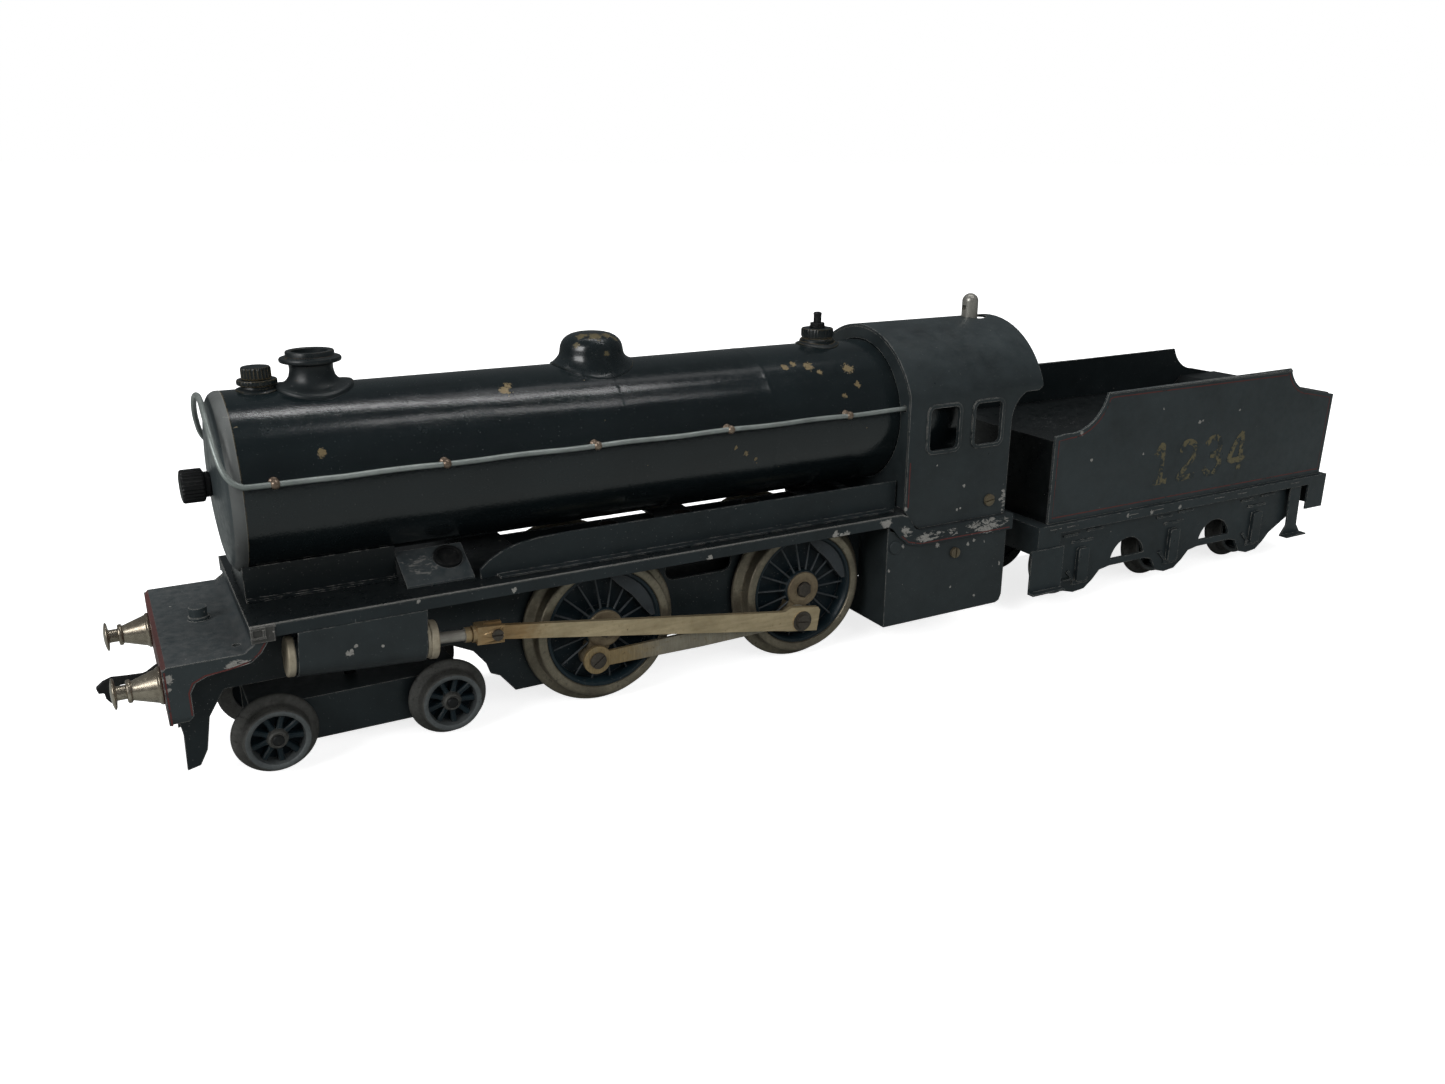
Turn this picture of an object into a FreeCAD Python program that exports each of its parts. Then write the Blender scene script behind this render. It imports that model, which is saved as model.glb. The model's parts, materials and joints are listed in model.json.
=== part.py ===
"""Model steam locomotive and tender for 32 mm gauge, as an assembly of separate sub-parts.

Units are millimetres. X runs along the length with the front at -X, +Y is the right side and
+Z is up. Z = 0 is the flat surface under the wheel flanges, and X = 0 is mid length.
"""

import FreeCAD
import Part
import math
import os

V = FreeCAD.Vector
CENTRE_SHIFT = -3.0      # moves the drawn X values so that the overall length is centred on X = 0

# wheels and axles
WHEEL_BACK = 14.0        # back-to-back half width for 32 mm gauge
WHEEL_FACE = 19.9
FLANGE_FACE = 15.8
WEB_Y = (14.8, 15.4)      # thin web cast behind the spokes
DRIVER_FLANGE_R = 22.7
DRIVER_TREAD_R = 19.9
DRIVER_RIM_R = 17.1
DRIVER_HUB_R = 6.0
DRIVER_SPOKES = 18
FRONT_DRIVER_X = -88.1
REAR_DRIVER_X = -22.7
AXLE_Z = DRIVER_FLANGE_R
AXLE_R = 2.5
AXLE_HALF = 20.25
BOGIE_FLANGE_R = 10.5
BOGIE_TREAD_R = 8.2
BOGIE_AXLES_X = (-175.9, -132.2)
BOGIE_PIVOT_X = sum(BOGIE_AXLES_X) / 2
TENDER_FLANGE_R = 13.6
TENDER_TREAD_R = 11.3
TENDER_AXLES_X = (87.3, 132.5, 177.7)
SMALL_AXLE_R = 1.5
RUNNING_GAP = 0.05

# cranks and rods
CRANK_R = 8.7
LEFT_CRANK_DEG = 247.0   # measured from +X towards +Z
RIGHT_CRANK_DEG = 157.0  # a quarter turn from the left crank
COUPLING_Y = (20.4, 21.6)
CONROD_Y = (22.7, 24.2)
CONROD_L = 96.0
CRANKPIN_R = 1.4
ECCENTRIC_R = 5.2
ECCENTRIC_THROW = 2.0
WEIGHT_DEG = (117.0, 193.0)   # balance weight, measured from the crank

# cylinders, whose axis is tilted to pass through the driven axle
CYL_Y = 23.4
CYL_TILT_DEG = 4.2
BORE_R = 3.6
CYL_R = 4.5
CYL_FRONT_X = -171.0
CYL_REAR_X = -139.6

# fittings along the boiler and the flame under it
CHIMNEY_X = -155.5
FILLER_X = -168.3
DOME_X = -81.6
SAFETY_X = -7.5
WICK_XS = (-78.0, -54.0, -30.0)
FLAME_OPENINGS = ((-107.0, -60.2), (-47.4, -9.6))
FLAME_HALF = 15.4

# frames and footplate
SHEET = 0.8
FRAME_Y = (12.2, 13.2)
FOOT_Z = 44.7            # top of the running plate
FOOT_HALF = 28.6
FOOT_FRONT_X = -180.0
CAB_FOOT_Z = 38.5        # top of the plate under the cab
CAB_REAR_X = 51.5
VALANCE_Z = 41.2
PLATFORM_Z = 38.3
BEAM_X = -199.2
BEAM_BOTTOM_Z = 23.0

# boiler and cab
BOILER_R = 22.0
BOILER_Z = 72.0
BOILER_FRONT_X = -178.6
BOILER_REAR_X = 33.4     # the backhead stands inside the cab
SADDLE_HALF = 12.0
CAB_X = 8.6
CAB_HALF = 27.0
ROOF_R = 29.0
ROOF_CENTRE_Z = 69.5
ROOF_REAR_X = 61.0
HANDRAIL_Y = 23.9
HANDRAIL_Z = 76.1
HANDRAIL_R = 0.7
KNOB_XS = [-170.0 + 39.7 * i for i in range(5)]

# buffers
BUFFER_Y = 19.0
BUFFER_Z = 30.5

# tender
TENDER_HALF = 27.0
TENDER_FOOT_Z = 31.7
TENDER_X = (63.5, 213.0)
TENDER_FRAME_Y = (24.6, 25.6)
DRAWBAR_PINS_X = (44.0, 72.0)
DRAWBAR_Z = 29.0


def box(x0, x1, y0, y1, z0, z1):
    """Rectangular block between two corners given in any order."""
    x0, x1 = sorted((x0, x1))
    y0, y1 = sorted((y0, y1))
    z0, z1 = sorted((z0, z1))
    return Part.makeBox(x1 - x0, y1 - y0, z1 - z0, V(x0, y0, z0))


def rod(radius, start, end):
    """Round bar between two points."""
    start, end = V(*start), V(*end)
    return Part.makeCylinder(radius, (end - start).Length, start, end - start)


def pipe(outer, inner, start, end):
    return rod(outer, start, end).cut(rod(inner, start, end))


def plate_xz(points, y0, y1):
    """Flat plate with an outline in the XZ plane."""
    y0, y1 = sorted((y0, y1))
    outline = [V(x, y0, z) for x, z in points]
    return Part.Face(Part.makePolygon(outline + outline[:1])).extrude(V(0, y1 - y0, 0))


def plate_yz(points, x0, x1):
    """Flat plate with an outline in the YZ plane."""
    outline = [V(x0, y, z) for y, z in points]
    return Part.Face(Part.makePolygon(outline + outline[:1])).extrude(V(x1 - x0, 0, 0))


def turned(profile, base, axis):
    """Solid of revolution from (radius, height) points about an axis through base."""
    base, axis = V(*base), V(*axis)
    side = V(0, 0, 1) if abs(axis.z) < 0.5 else V(1, 0, 0)
    outline = [base + side * r + axis * h for r, h in profile]
    face = Part.Face(Part.makePolygon(outline + outline[:1]))
    return face.revolve(base, axis, 360)


def arc_points(cx, cz, radius, start_deg, end_deg, count=12):
    """Points along a circular arc, for a rounded stretch of an outline."""
    step = (end_deg - start_deg) / count
    angles = [math.radians(start_deg + step * i) for i in range(count + 1)]
    return [(cx + radius * math.cos(a), cz + radius * math.sin(a)) for a in angles]


def join(*shapes):
    shapes = list(shapes)
    return shapes[0].multiFuse(shapes[1:]).removeSplitter() if len(shapes) > 1 else shapes[0]


def mirrored(shape):
    """The same piece on the other side of the locomotive."""
    return shape.mirror(V(0, 0, 0), V(0, 1, 0))


def tilted(shape):
    """Turns a piece drawn on a level cylinder axis to the real, tilted axis."""
    turned_shape = shape.copy()
    turned_shape.rotate(V(REAR_DRIVER_X, 0, AXLE_Z), V(0, 1, 0), CYL_TILT_DEG)
    return turned_shape


def save(name, *solids):
    group = Part.makeCompound([s for shape in solids for s in shape.Solids])
    group.translate(V(CENTRE_SHIFT, 0, 0))
    group.exportStep("parts/%s.step" % name)


def both_sides(shape):
    return [shape, mirrored(shape)]


def crank_offset(angle_deg):
    a = math.radians(angle_deg)
    return CRANK_R * math.cos(a), CRANK_R * math.sin(a)


def crosshead_distance(angle_deg):
    """Distance from the driven axle to the crosshead pin, along the cylinder axis."""
    along = math.radians(180.0 - CYL_TILT_DEG)
    dx, dz = crank_offset(angle_deg)
    forward = dx * math.cos(along) + dz * math.sin(along)
    across = -dx * math.sin(along) + dz * math.cos(along)
    return forward + math.sqrt(CONROD_L ** 2 - across ** 2)


# frames, footplate and front end

def main_frames():
    top = [(-197.8, 37.3), (-180.5, 37.3), (-178.6, 38.3), (-177.7, 40.5), (-177.5, 43.8), (6.0, 43.8),
           (8.0, 42.8), (10.9, 38.4), (13.4, 37.6)]
    rear = [(50.5, 37.6), (50.5, 26.0), (8.0, 26.0), (-6.0, 14.0), (-98.0, 14.0), (-98.0, 7.0)]
    step = [(-112.8, 7.0), (-117.0, 12.3), (-119.5, 13.5), (-120.5, 16.5), (-124.0, 21.0)]
    guard = [(-130.0, 24.0), (-186.0, 24.0), (-190.0, 17.5), (-191.5, 9.0), (-193.5, 5.2)]
    outline = top + rear + step + guard + [(-196.6, 4.5), (-196.3, 14.0), (-197.8, 24.0)]
    plate = plate_xz(outline, *FRAME_Y)
    slot = join(box(-63.5, -47.5, 12, 14, 31.0, 36.6), rod(2.8, (-63.5, 12, 33.8), (-63.5, 14, 33.8)),
                rod(2.8, (-47.5, 12, 33.8), (-47.5, 14, 33.8)))
    holes = [rod(4.0, (x, 12, AXLE_Z), (x, 14, AXLE_Z)) for x in (FRONT_DRIVER_X, REAR_DRIVER_X)]
    for cut in [slot] + holes:
        plate = plate.cut(cut)
    spacers = [rod(2.0, (x, -12.2, z), (x, 12.2, z)) for x, z in ((-108.0, 12.0), (-5.0, 33.0))]
    stretchers = [box(BOGIE_PIVOT_X - 8, BOGIE_PIVOT_X + 8, -12.2, 12.2, 25.0, 27.0),
                  box(-197.8, -195.8, -12.2, 12.2, 24.5, 37.0),
                  box(39.0, 49.0, -12.2, 12.2, 33.0, 35.0)]
    bogie_pin_hole = rod(1.5, (BOGIE_PIVOT_X, 0, 24), (BOGIE_PIVOT_X, 0, 28))
    drawbar_pin_hole = rod(1.5, (DRAWBAR_PINS_X[0], 0, 32), (DRAWBAR_PINS_X[0], 0, 36))
    hook_slot = box(-198.5, -195, -0.8, 0.8, 25.0, 29.0)
    frames = join(plate, mirrored(plate), *spacers, *stretchers)
    return frames.cut(bogie_pin_hole).cut(drawbar_pin_hole).cut(hook_slot)


def axle_bushes():
    bushes = []
    for x in (FRONT_DRIVER_X, REAR_DRIVER_X):
        bush = pipe(4.0, AXLE_R + RUNNING_GAP, (x, 11.4, AXLE_Z), (x, 13.7, AXLE_Z))
        bushes += both_sides(bush)
    return bushes


def front_platform():
    """Buffer beam and front platform, bent from one sheet with turned-down side flanges."""
    curve = arc_points(-182.0, 41.4, 3.1, -90, 0, 6)
    inner = arc_points(-182.0, 41.4, 3.9, 0, -90, 6)
    sheet = plate_xz(
        [(BEAM_X, BEAM_BOTTOM_Z), (BEAM_X, PLATFORM_Z - 1), (BEAM_X + 1, PLATFORM_Z)] + curve
        + [(-178.9, 43.8), (-178.1, 43.8)] + inner
        + [(BEAM_X + 1.2, PLATFORM_Z - SHEET), (BEAM_X + SHEET, PLATFORM_Z - 1.4),
           (BEAM_X + SHEET, BEAM_BOTTOM_Z)],
        -28.4, 28.4)
    lower = [(-176.0, 40.6), (-178.0, 37.6), (-180.5, 35.7), (-190.0, 34.4), (-192.6, 33.3)]
    drop = [(-193.9, 31.0), (-193.9, 25.4), (-195.4, 23.5), (BEAM_X, BEAM_BOTTOM_Z)]
    flange = plate_xz([(BEAM_X, PLATFORM_Z - 0.6), (-182.0, PLATFORM_Z - 0.2), (-179.0, 40.2),
                       (-178.4, 43.8), (-176.0, 43.8)] + lower + drop, -28.4, -27.6)
    corner = box(-201, -190, -32, -25.4, 20, BEAM_BOTTOM_Z + 3).cut(
        rod(3.0, (-201, -25.4, BEAM_BOTTOM_Z + 3), (-190, -25.4, BEAM_BOTTOM_Z + 3)))
    stud = join(rod(2.1, (-188.5, 0, PLATFORM_Z - 0.1), (-188.5, 0, PLATFORM_Z + 3.2)),
                rod(2.5, (-188.5, 0, PLATFORM_Z - 0.1), (-188.5, 0, PLATFORM_Z + 0.8)))
    body = join(sheet, flange, mirrored(flange), stud)
    hole = rod(0.9, (-182.6, -21.9, 36), (-182.6, -21.9, 41))
    buffer_holes = [rod(2.6, (-202, s * BUFFER_Y, BUFFER_Z), (-195, s * BUFFER_Y, BUFFER_Z)) for s in (-1, 1)]
    hook_slot = box(-201, -197, -0.8, 0.8, 25.0, 29.0)
    behind_valance = box(-180.3, -170, -30, -27.75, VALANCE_Z - 0.05, 46)
    corners = [corner, mirrored(corner), behind_valance, mirrored(behind_valance)]
    for cut in corners + [hole, hook_slot] + buffer_holes:
        body = body.cut(cut)
    return body


def footplate():
    """Running plate with its front lip, side valances and the dropped part under the cab."""
    drop_top = [(6.5, FOOT_Z), (8.6, 43.8), (10.2, 41.6), (11.8, 39.3), (13.8, CAB_FOOT_Z)]
    drop_under = [(13.6, 37.7), (11.2, 38.5), (9.6, 40.9), (8.1, 43.1), (6.3, 43.9)]
    top = plate_xz([(FOOT_FRONT_X, FOOT_Z - SHEET), (FOOT_FRONT_X, FOOT_Z)] + drop_top
                   + [(CAB_REAR_X, CAB_FOOT_Z), (CAB_REAR_X, 37.7)] + drop_under, -FOOT_HALF, FOOT_HALF)
    lip = box(FOOT_FRONT_X, FOOT_FRONT_X + SHEET, -FOOT_HALF, FOOT_HALF, 41.5, FOOT_Z)
    edge = plate_xz([(FOOT_FRONT_X, FOOT_Z)] + drop_top + [
        (CAB_REAR_X, CAB_FOOT_Z), (CAB_REAR_X, 33.4), (14.0, 33.4), (9.0, 34.6), (5.5, 37.6),
        (3.2, 40.4), (1.5, VALANCE_Z), (FOOT_FRONT_X, VALANCE_Z)], -FOOT_HALF, -FOOT_HALF + SHEET)
    lug = box(FOOT_FRONT_X, -174.6, -FOOT_HALF - 0.5, -FOOT_HALF, 40.4, 44.3)
    plate = join(top, lip, edge, mirrored(edge), lug, mirrored(lug))
    for x in (FRONT_DRIVER_X, REAR_DRIVER_X):
        for s in (-1, 1):
            plate = plate.cut(box(x - 14.5, x + 14.5, s * 13.4, s * 18.6, 40, 50))
    for x0, x1 in FLAME_OPENINGS:
        plate = plate.cut(box(x0, x1, -FLAME_HALF, FLAME_HALF, 40, 50))
    plate = plate.cut(rod(3.5, (WICK_XS[1], 0, 40), (WICK_XS[1], 0, 50)))
    plate = plate.cut(box(-160.0, -141.0, -4.5, 4.5, 40, 50))
    return plate


def saddle():
    """Block with a thin foot that carries the smokebox on the footplate."""
    front = BOILER_FRONT_X + 0.2
    block = join(box(front, -142.0, -SADDLE_HALF, SADDLE_HALF, FOOT_Z, 58.0),
                 box(front, -142.0, -SADDLE_HALF - 1.2, SADDLE_HALF + 1.2, FOOT_Z, FOOT_Z + 0.7))
    block = on_boiler(block)
    return block.cut(box(-160.0, -141.0, -4.4, 4.4, 40, 60))


# boiler and its fittings

def boiler_barrel():
    barrel = pipe(BOILER_R, BOILER_R - SHEET, (BOILER_FRONT_X + 1.8, 0, BOILER_Z), (BOILER_REAR_X, 0, BOILER_Z))
    openings = [rod(4.6, (CHIMNEY_X, 0, 85), (CHIMNEY_X, 0, 100)),
                rod(2.3, (CHIMNEY_X, 0, 45), (CHIMNEY_X, 0, 60)),
                rod(1.4, (-146.0, 0, 45), (-146.0, 0, 60)),
                rod(1.55, (SAFETY_X, 0, 85), (SAFETY_X, 0, 100)),
                rod(1.65, (FILLER_X, 0, 85), (FILLER_X, 0, 100))]
    for cut in openings:
        barrel = barrel.cut(cut)
    return barrel


def smokebox_front():
    """Domed front plate with a plain rim, closed by the knurled knob."""
    profile = [(0, 3.0), (9, 2.8), (16, 2.2), (20, 1.4), (21.4, 0.6), (22.0, -0.6), (22.0, -1.8),
               (21.15, -1.8), (21.15, -4.0), (0, -4.0)]
    return turned(profile, (BOILER_FRONT_X, 0, BOILER_Z), (-1, 0, 0)).cut(
        rod(1.85, (-190, 0, BOILER_Z), (-170, 0, BOILER_Z)))


def boiler_flue():
    """Backhead, smokebox tube plate and the flue between them."""
    r = BOILER_R - SHEET - 0.05
    plates = []
    for x in (-142.0, BOILER_REAR_X - 2.0):
        disc = rod(r, (x, 0, BOILER_Z), (x + 1.6, 0, BOILER_Z))
        plates.append(disc.cut(rod(6.0, (x - 1, 0, BOILER_Z - 6), (x + 3, 0, BOILER_Z - 6))))
    return plates + [pipe(6.0, 5.2, (-142.5, 0, BOILER_Z - 6), (BOILER_REAR_X + 0.1, 0, BOILER_Z - 6))]


def on_boiler(shape):
    """Trims a fitting's foot to the curve of the boiler."""
    return shape.cut(rod(BOILER_R + 0.02, (-190, 0, BOILER_Z), (20, 0, BOILER_Z)))


def chimney():
    outer = [(0, 89.5), (9.6, 89.5), (9.6, 92.6), (8.4, 94.6), (6.2, 95.8), (5.2, 97.6), (5.3, 99.4),
             (7.2, 99.9), (7.2, 100.6), (5.7, 101.1), (5.7, 102.3), (0, 102.3)]
    body = turned(outer, (CHIMNEY_X, 0, 0), (0, 0, 1))
    return on_boiler(body.cut(rod(4.3, (CHIMNEY_X, 0, 80), (CHIMNEY_X, 0, 110))))


def dome():
    outer = [(0, 88.0), (10.9, 88.0), (10.9, 91.2), (10.0, 93.0), (8.9, 94.4), (8.6, 97.2),
             (7.9, 99.4), (6.2, 101.0), (3.6, 102.0), (0, 102.2)]
    body = turned(outer, (DOME_X, 0, 0), (0, 0, 1))
    return on_boiler(body).Solids[-1]


def boiler_fittings():
    """Filler boss ahead of the chimney and the body of the safety valve."""
    filler = turned([(0, 91), (3.7, 91), (3.7, 95.0), (4.6, 95.2), (4.6, 96.4), (0, 96.4)],
                    (FILLER_X, 0, 0), (0, 0, 1)).cut(rod(1.65, (FILLER_X, 0, 80), (FILLER_X, 0, 110)))
    valve = turned([(0, 91), (6.1, 91), (6.1, 95.2), (5.1, 95.4), (5.5, 95.9), (5.5, 98.3),
                    (5.0, 98.6), (0, 98.6)], (SAFETY_X, 0, 0), (0, 0, 1))
    valve = valve.cut(rod(1.5, (SAFETY_X, 0, 80), (SAFETY_X, 0, 110)))
    return [on_boiler(filler), on_boiler(valve)]


def filler_cap():
    cap = turned([(0, 96.5), (3.4, 96.5), (3.4, 99.2), (2.9, 99.6), (0, 99.6)], (FILLER_X, 0, 0), (0, 0, 1))
    return join(cap, rod(1.6, (FILLER_X, 0, 92.5), (FILLER_X, 0, 97)))


def safety_valve_stem():
    z = 98.7
    profile = [(0, z - 8.5), (2.0, z - 8.5), (2.0, z - 7.2), (1.42, z - 7.2), (1.42, z), (2.3, z),
               (2.3, z + 1.2), (1.3, z + 1.5), (1.3, z + 4.3), (0, z + 4.5)]
    return turned(profile, (SAFETY_X, 0, 0), (0, 0, 1))


def front_knob():
    grip = turned([(0, 3.1), (3.4, 3.1), (3.4, 4.5), (4.0, 4.7), (4.1, 9.4), (3.6, 9.8), (0, 9.8)],
                  (BOILER_FRONT_X, 0, BOILER_Z), (-1, 0, 0))
    return join(grip, rod(1.8, (-184, 0, BOILER_Z), (-174, 0, BOILER_Z)))


def handrail_path():
    """Half of the handrail wire, from the cab to the middle of the smokebox front."""
    straight = [(14.0, -HANDRAIL_Y, HANDRAIL_Z), (-175.5, -HANDRAIL_Y, HANDRAIL_Z)]
    return straight + [(-179.3, -23.6, 76.9), (-181.9, -22.4, 79.6), (-183.2, -19.2, 85.0),
                       (-183.6, -13.0, 90.0), (-183.4, -6.0, 92.6), (-183.3, 0, 93.3)]


def wire(points, radius):
    """Bent round wire made of straight lengths with round joints."""
    pieces = [rod(radius, a, b) for a, b in zip(points, points[1:])]
    pieces += [Part.makeSphere(radius, V(*p)) for p in points[1:-1]]
    return join(*pieces)


def handrail():
    half = handrail_path()
    other = [(x, -y, z) for x, y, z in reversed(half[:-1])]
    return wire(half + other, HANDRAIL_R)


def handrail_knobs():
    knobs = []
    for x in KNOB_XS:
        foot = math.sqrt(BOILER_R ** 2 - (HANDRAIL_Z - BOILER_Z) ** 2) + 0.12
        ball = [(r, HANDRAIL_Y - s) for r, s in arc_points(0, 0, 1.35, 58, -90, 8)]
        knob = turned([(0, foot), (0.7, foot)] + ball, (x, 0, HANDRAIL_Z), (0, -1, 0))
        hole = rod(HANDRAIL_R, (x - 3, -HANDRAIL_Y, HANDRAIL_Z), (x + 3, -HANDRAIL_Y, HANDRAIL_Z))
        knobs += both_sides(knob.cut(hole))
    return knobs


def fire_shields():
    """Long side plates under the boiler that keep the flame in and cover the wheel tops."""
    outline = [(-123.4, FOOT_Z), (-123.4, 47.2), (-120.9, 49.3), (-117.4, 51.2), (-113.0, 52.6),
               (-107.0, 53.4), (-98.0, 53.7), (7.9, 53.7), (7.9, FOOT_Z)]
    upright = plate_xz(outline, -22.8, -22.0)
    foot = box(-119.0, 5.5, -25.2, -22.0, FOOT_Z, FOOT_Z + 0.6)
    return both_sides(join(upright, foot))


def lubricator():
    """Oil cup let into a sheet that slopes from the footplate up to the boiler, behind the saddle."""
    top = [(-21.4, FOOT_Z), (-21.4, 45.2), (-10.2, 51.2), (-10.0, 50.6), (-20.8, 44.8), (-20.8, FOOT_Z)]
    sheet = plate_yz(top, -141.9, -124.5)
    slope = math.atan2(6.0, 11.2)
    middle = V(-129.3, -14.4, 48.9)
    normal = V(0, -math.sin(slope), math.cos(slope))
    low, high = middle - normal * 2.2, middle + normal * 1.0
    cup = rod(3.7, low, high).cut(rod(2.9, middle - normal * 1.4, high + normal))
    return join(sheet, cup)


# cab and firebox casing

def roof_outline(inset, foot_z):
    half = CAB_HALF - inset
    radius = ROOF_R - inset
    edge = math.degrees(math.acos(half / radius))
    arc = arc_points(0, ROOF_CENTRE_Z, radius, edge, 180 - edge, 24)
    return [(half, foot_z)] + arc + [(-half, foot_z)]


def rounded_block(x0, x1, y0, y1, z0, z1, radius):
    """Block whose four edges along Y are rounded."""
    block = box(x0, x1, y0, y1, z0, z1)
    edges = [e for e in block.Edges if abs(e.Vertexes[0].Y - e.Vertexes[1].Y) > 0.01]
    return block.makeFillet(radius, edges)


def cab_shell():
    """Cab sides and roof, with two windows a side in raised frames."""
    shell = plate_yz(roof_outline(0, 36), CAB_X, ROOF_REAR_X).cut(
        plate_yz(roof_outline(SHEET, 30), CAB_X - 1, ROOF_REAR_X + 1))
    curve = arc_points(58.8, 69.0, 9.9, 180, 118, 6)
    rear = plate_xz([(48.9, 30), (48.9, 66)] + curve + [(59.5, 77.8), (ROOF_REAR_X + 1, 79.8),
                    (ROOF_REAR_X + 1, 30)], -40, 40)
    under = plate_xz([(0, 30), (0, 45.2), (8.1, 45.2), (10.3, 42.4), (12.1, 40.0), (14.2, 38.6),
                      (60, 38.6), (60, 30)], -40, 40)
    shell = shell.cut(rear).cut(under)
    for x0, x1 in ((16.2, 27.3), (33.7, 44.3)):
        border = rounded_block(x0 - 1.1, x1 + 1.1, -CAB_HALF - 0.5, -CAB_HALF + 0.2, 61.7, 77.0, 2.7)
        shell = join(shell, border, mirrored(border))
        shell = shell.cut(rounded_block(x0, x1, -40, 40, 62.8, 75.9, 1.7))
    return shell.cut(rod(4.3, (53.4, 0, 90), (53.4, 0, 102)))


def cab_front():
    """Front plate of the cab, cut to fit round the boiler."""
    plate = plate_yz(roof_outline(SHEET + 0.02, 45.3), CAB_X + 0.1, CAB_X + 0.9)
    plate = plate.cut(rod(BOILER_R + 0.1, (0, 0, BOILER_Z), (20, 0, BOILER_Z)))
    for s in (-1, 1):
        wire_hole = rod(1.0, (0, s * HANDRAIL_Y, HANDRAIL_Z), (20, s * HANDRAIL_Y, HANDRAIL_Z))
        plate = plate.cut(wire_hole)
    return plate


def firebox_casing():
    """Sheet casing below the cab, closed at the front and open at the rear and bottom."""
    front = box(1.9, 2.7, -27.7, 27.7, 8.2, 40.8)
    for s in (-1, 1):
        front = front.cut(box(0, 4, s * (FRAME_Y[0] - 0.2), s * (FRAME_Y[1] + 0.2), 20.4, 45))
    front = front.cut(box(0, 4, -4, 4, 24.5, 45))
    side = plate_xz([(1.9, 8.2), (1.9, 40.0), (8.0, 37.5), (49.8, 37.5), (49.8, 11.0), (49.0, 8.9),
                     (47.5, 8.2)], -27.7, -26.9)
    return join(front, side, mirrored(side))


def slotted_head(x, y, z, radius, side):
    """Screw head on a side face, with a horizontal driver slot."""
    head = rod(radius, (x, side * y, z), (x, side * (y + 0.9), z))
    slot = box(x - 3, x + 3, side * (y + 0.4), side * (y + 1.5), z - 0.25, z + 0.25)
    return head.cut(slot)


def body_screws():
    screws = []
    for side in (-1, 1):
        screws.append(slotted_head(41.8, CAB_HALF, 44.1, 1.8, side))
        screws.append(slotted_head(28.5, 27.7, 28.8, 1.6, side))
        screws.append(rod(2.0, (4.6, side * 27.7, 34.2), (4.6, side * 28.3, 34.2)))
    return screws


def whistle():
    """Round-topped whistle that stands up through the cab roof from the backhead."""
    tube = join(rod(2.6, (52.0, 0, 86.0), (52.0, 0, 103.2)), Part.makeSphere(2.6, V(52.0, 0, 103.2)))
    tube = tube.cut(box(48, 51, -0.9, 0.9, 100.5, 102.0))
    pipe_out = rod(1.3, (BOILER_REAR_X - 0.2, 0, 84.0), (53.4, 0, 84.0))
    neck = rod(1.3, (52.0, 0, 84.0), (52.0, 0, 86.5)).cut(pipe_out)
    return [join(tube, neck), pipe_out]


# cylinders and motion

def cylinders():
    body = join(rod(CYL_R, (CYL_FRONT_X, -CYL_Y, AXLE_Z), (CYL_REAR_X, -CYL_Y, AXLE_Z)),
                box(-169.0, -142.0, -CYL_Y, -13.3, AXLE_Z - 3.5, AXLE_Z + 4.0))
    bore = rod(BORE_R, (CYL_FRONT_X - 1, -CYL_Y, AXLE_Z), (CYL_REAR_X + 1, -CYL_Y, AXLE_Z))
    return both_sides(tilted(body.cut(bore)))


def cylinder_covers():
    front = rod(5.0, (CYL_FRONT_X - 1.9, -CYL_Y, AXLE_Z), (CYL_FRONT_X, -CYL_Y, AXLE_Z))
    flange = rod(4.6, (CYL_REAR_X, -CYL_Y, AXLE_Z), (CYL_REAR_X + 0.8, -CYL_Y, AXLE_Z))
    cover = rod(5.0, (CYL_REAR_X + 0.8, -CYL_Y, AXLE_Z), (CYL_REAR_X + 2.9, -CYL_Y, AXLE_Z))
    gland = rod(2.4, (CYL_REAR_X + 2.9, -CYL_Y, AXLE_Z), (CYL_REAR_X + 3.4, -CYL_Y, AXLE_Z))
    bore = rod(1.5 + RUNNING_GAP, (-150, -CYL_Y, AXLE_Z), (-130, -CYL_Y, AXLE_Z))
    rear = join(flange, cover, gland).cut(bore)
    return both_sides(tilted(front)) + both_sides(tilted(rear))


def cylinder_cladding():
    """Sheet wrapper round the outer half of each cylinder, hung from the valance."""
    r_out, r_in = 5.2, 4.7
    lower_out = arc_points(-CYL_Y, AXLE_Z, r_out, 180, 300, 12)
    lower_in = arc_points(-CYL_Y, AXLE_Z, r_in, 300, 180, 12)
    outline = [(-CYL_Y - r_out, AXLE_Z + 14)] + lower_out + lower_in + [(-CYL_Y - r_in, AXLE_Z + 14)]
    wrap = tilted(plate_yz(outline, -170.6, -140.0))
    wrap = wrap.cut(box(-190, -120, -40, 0, VALANCE_Z - 0.05, 60))
    return both_sides(wrap)


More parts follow.
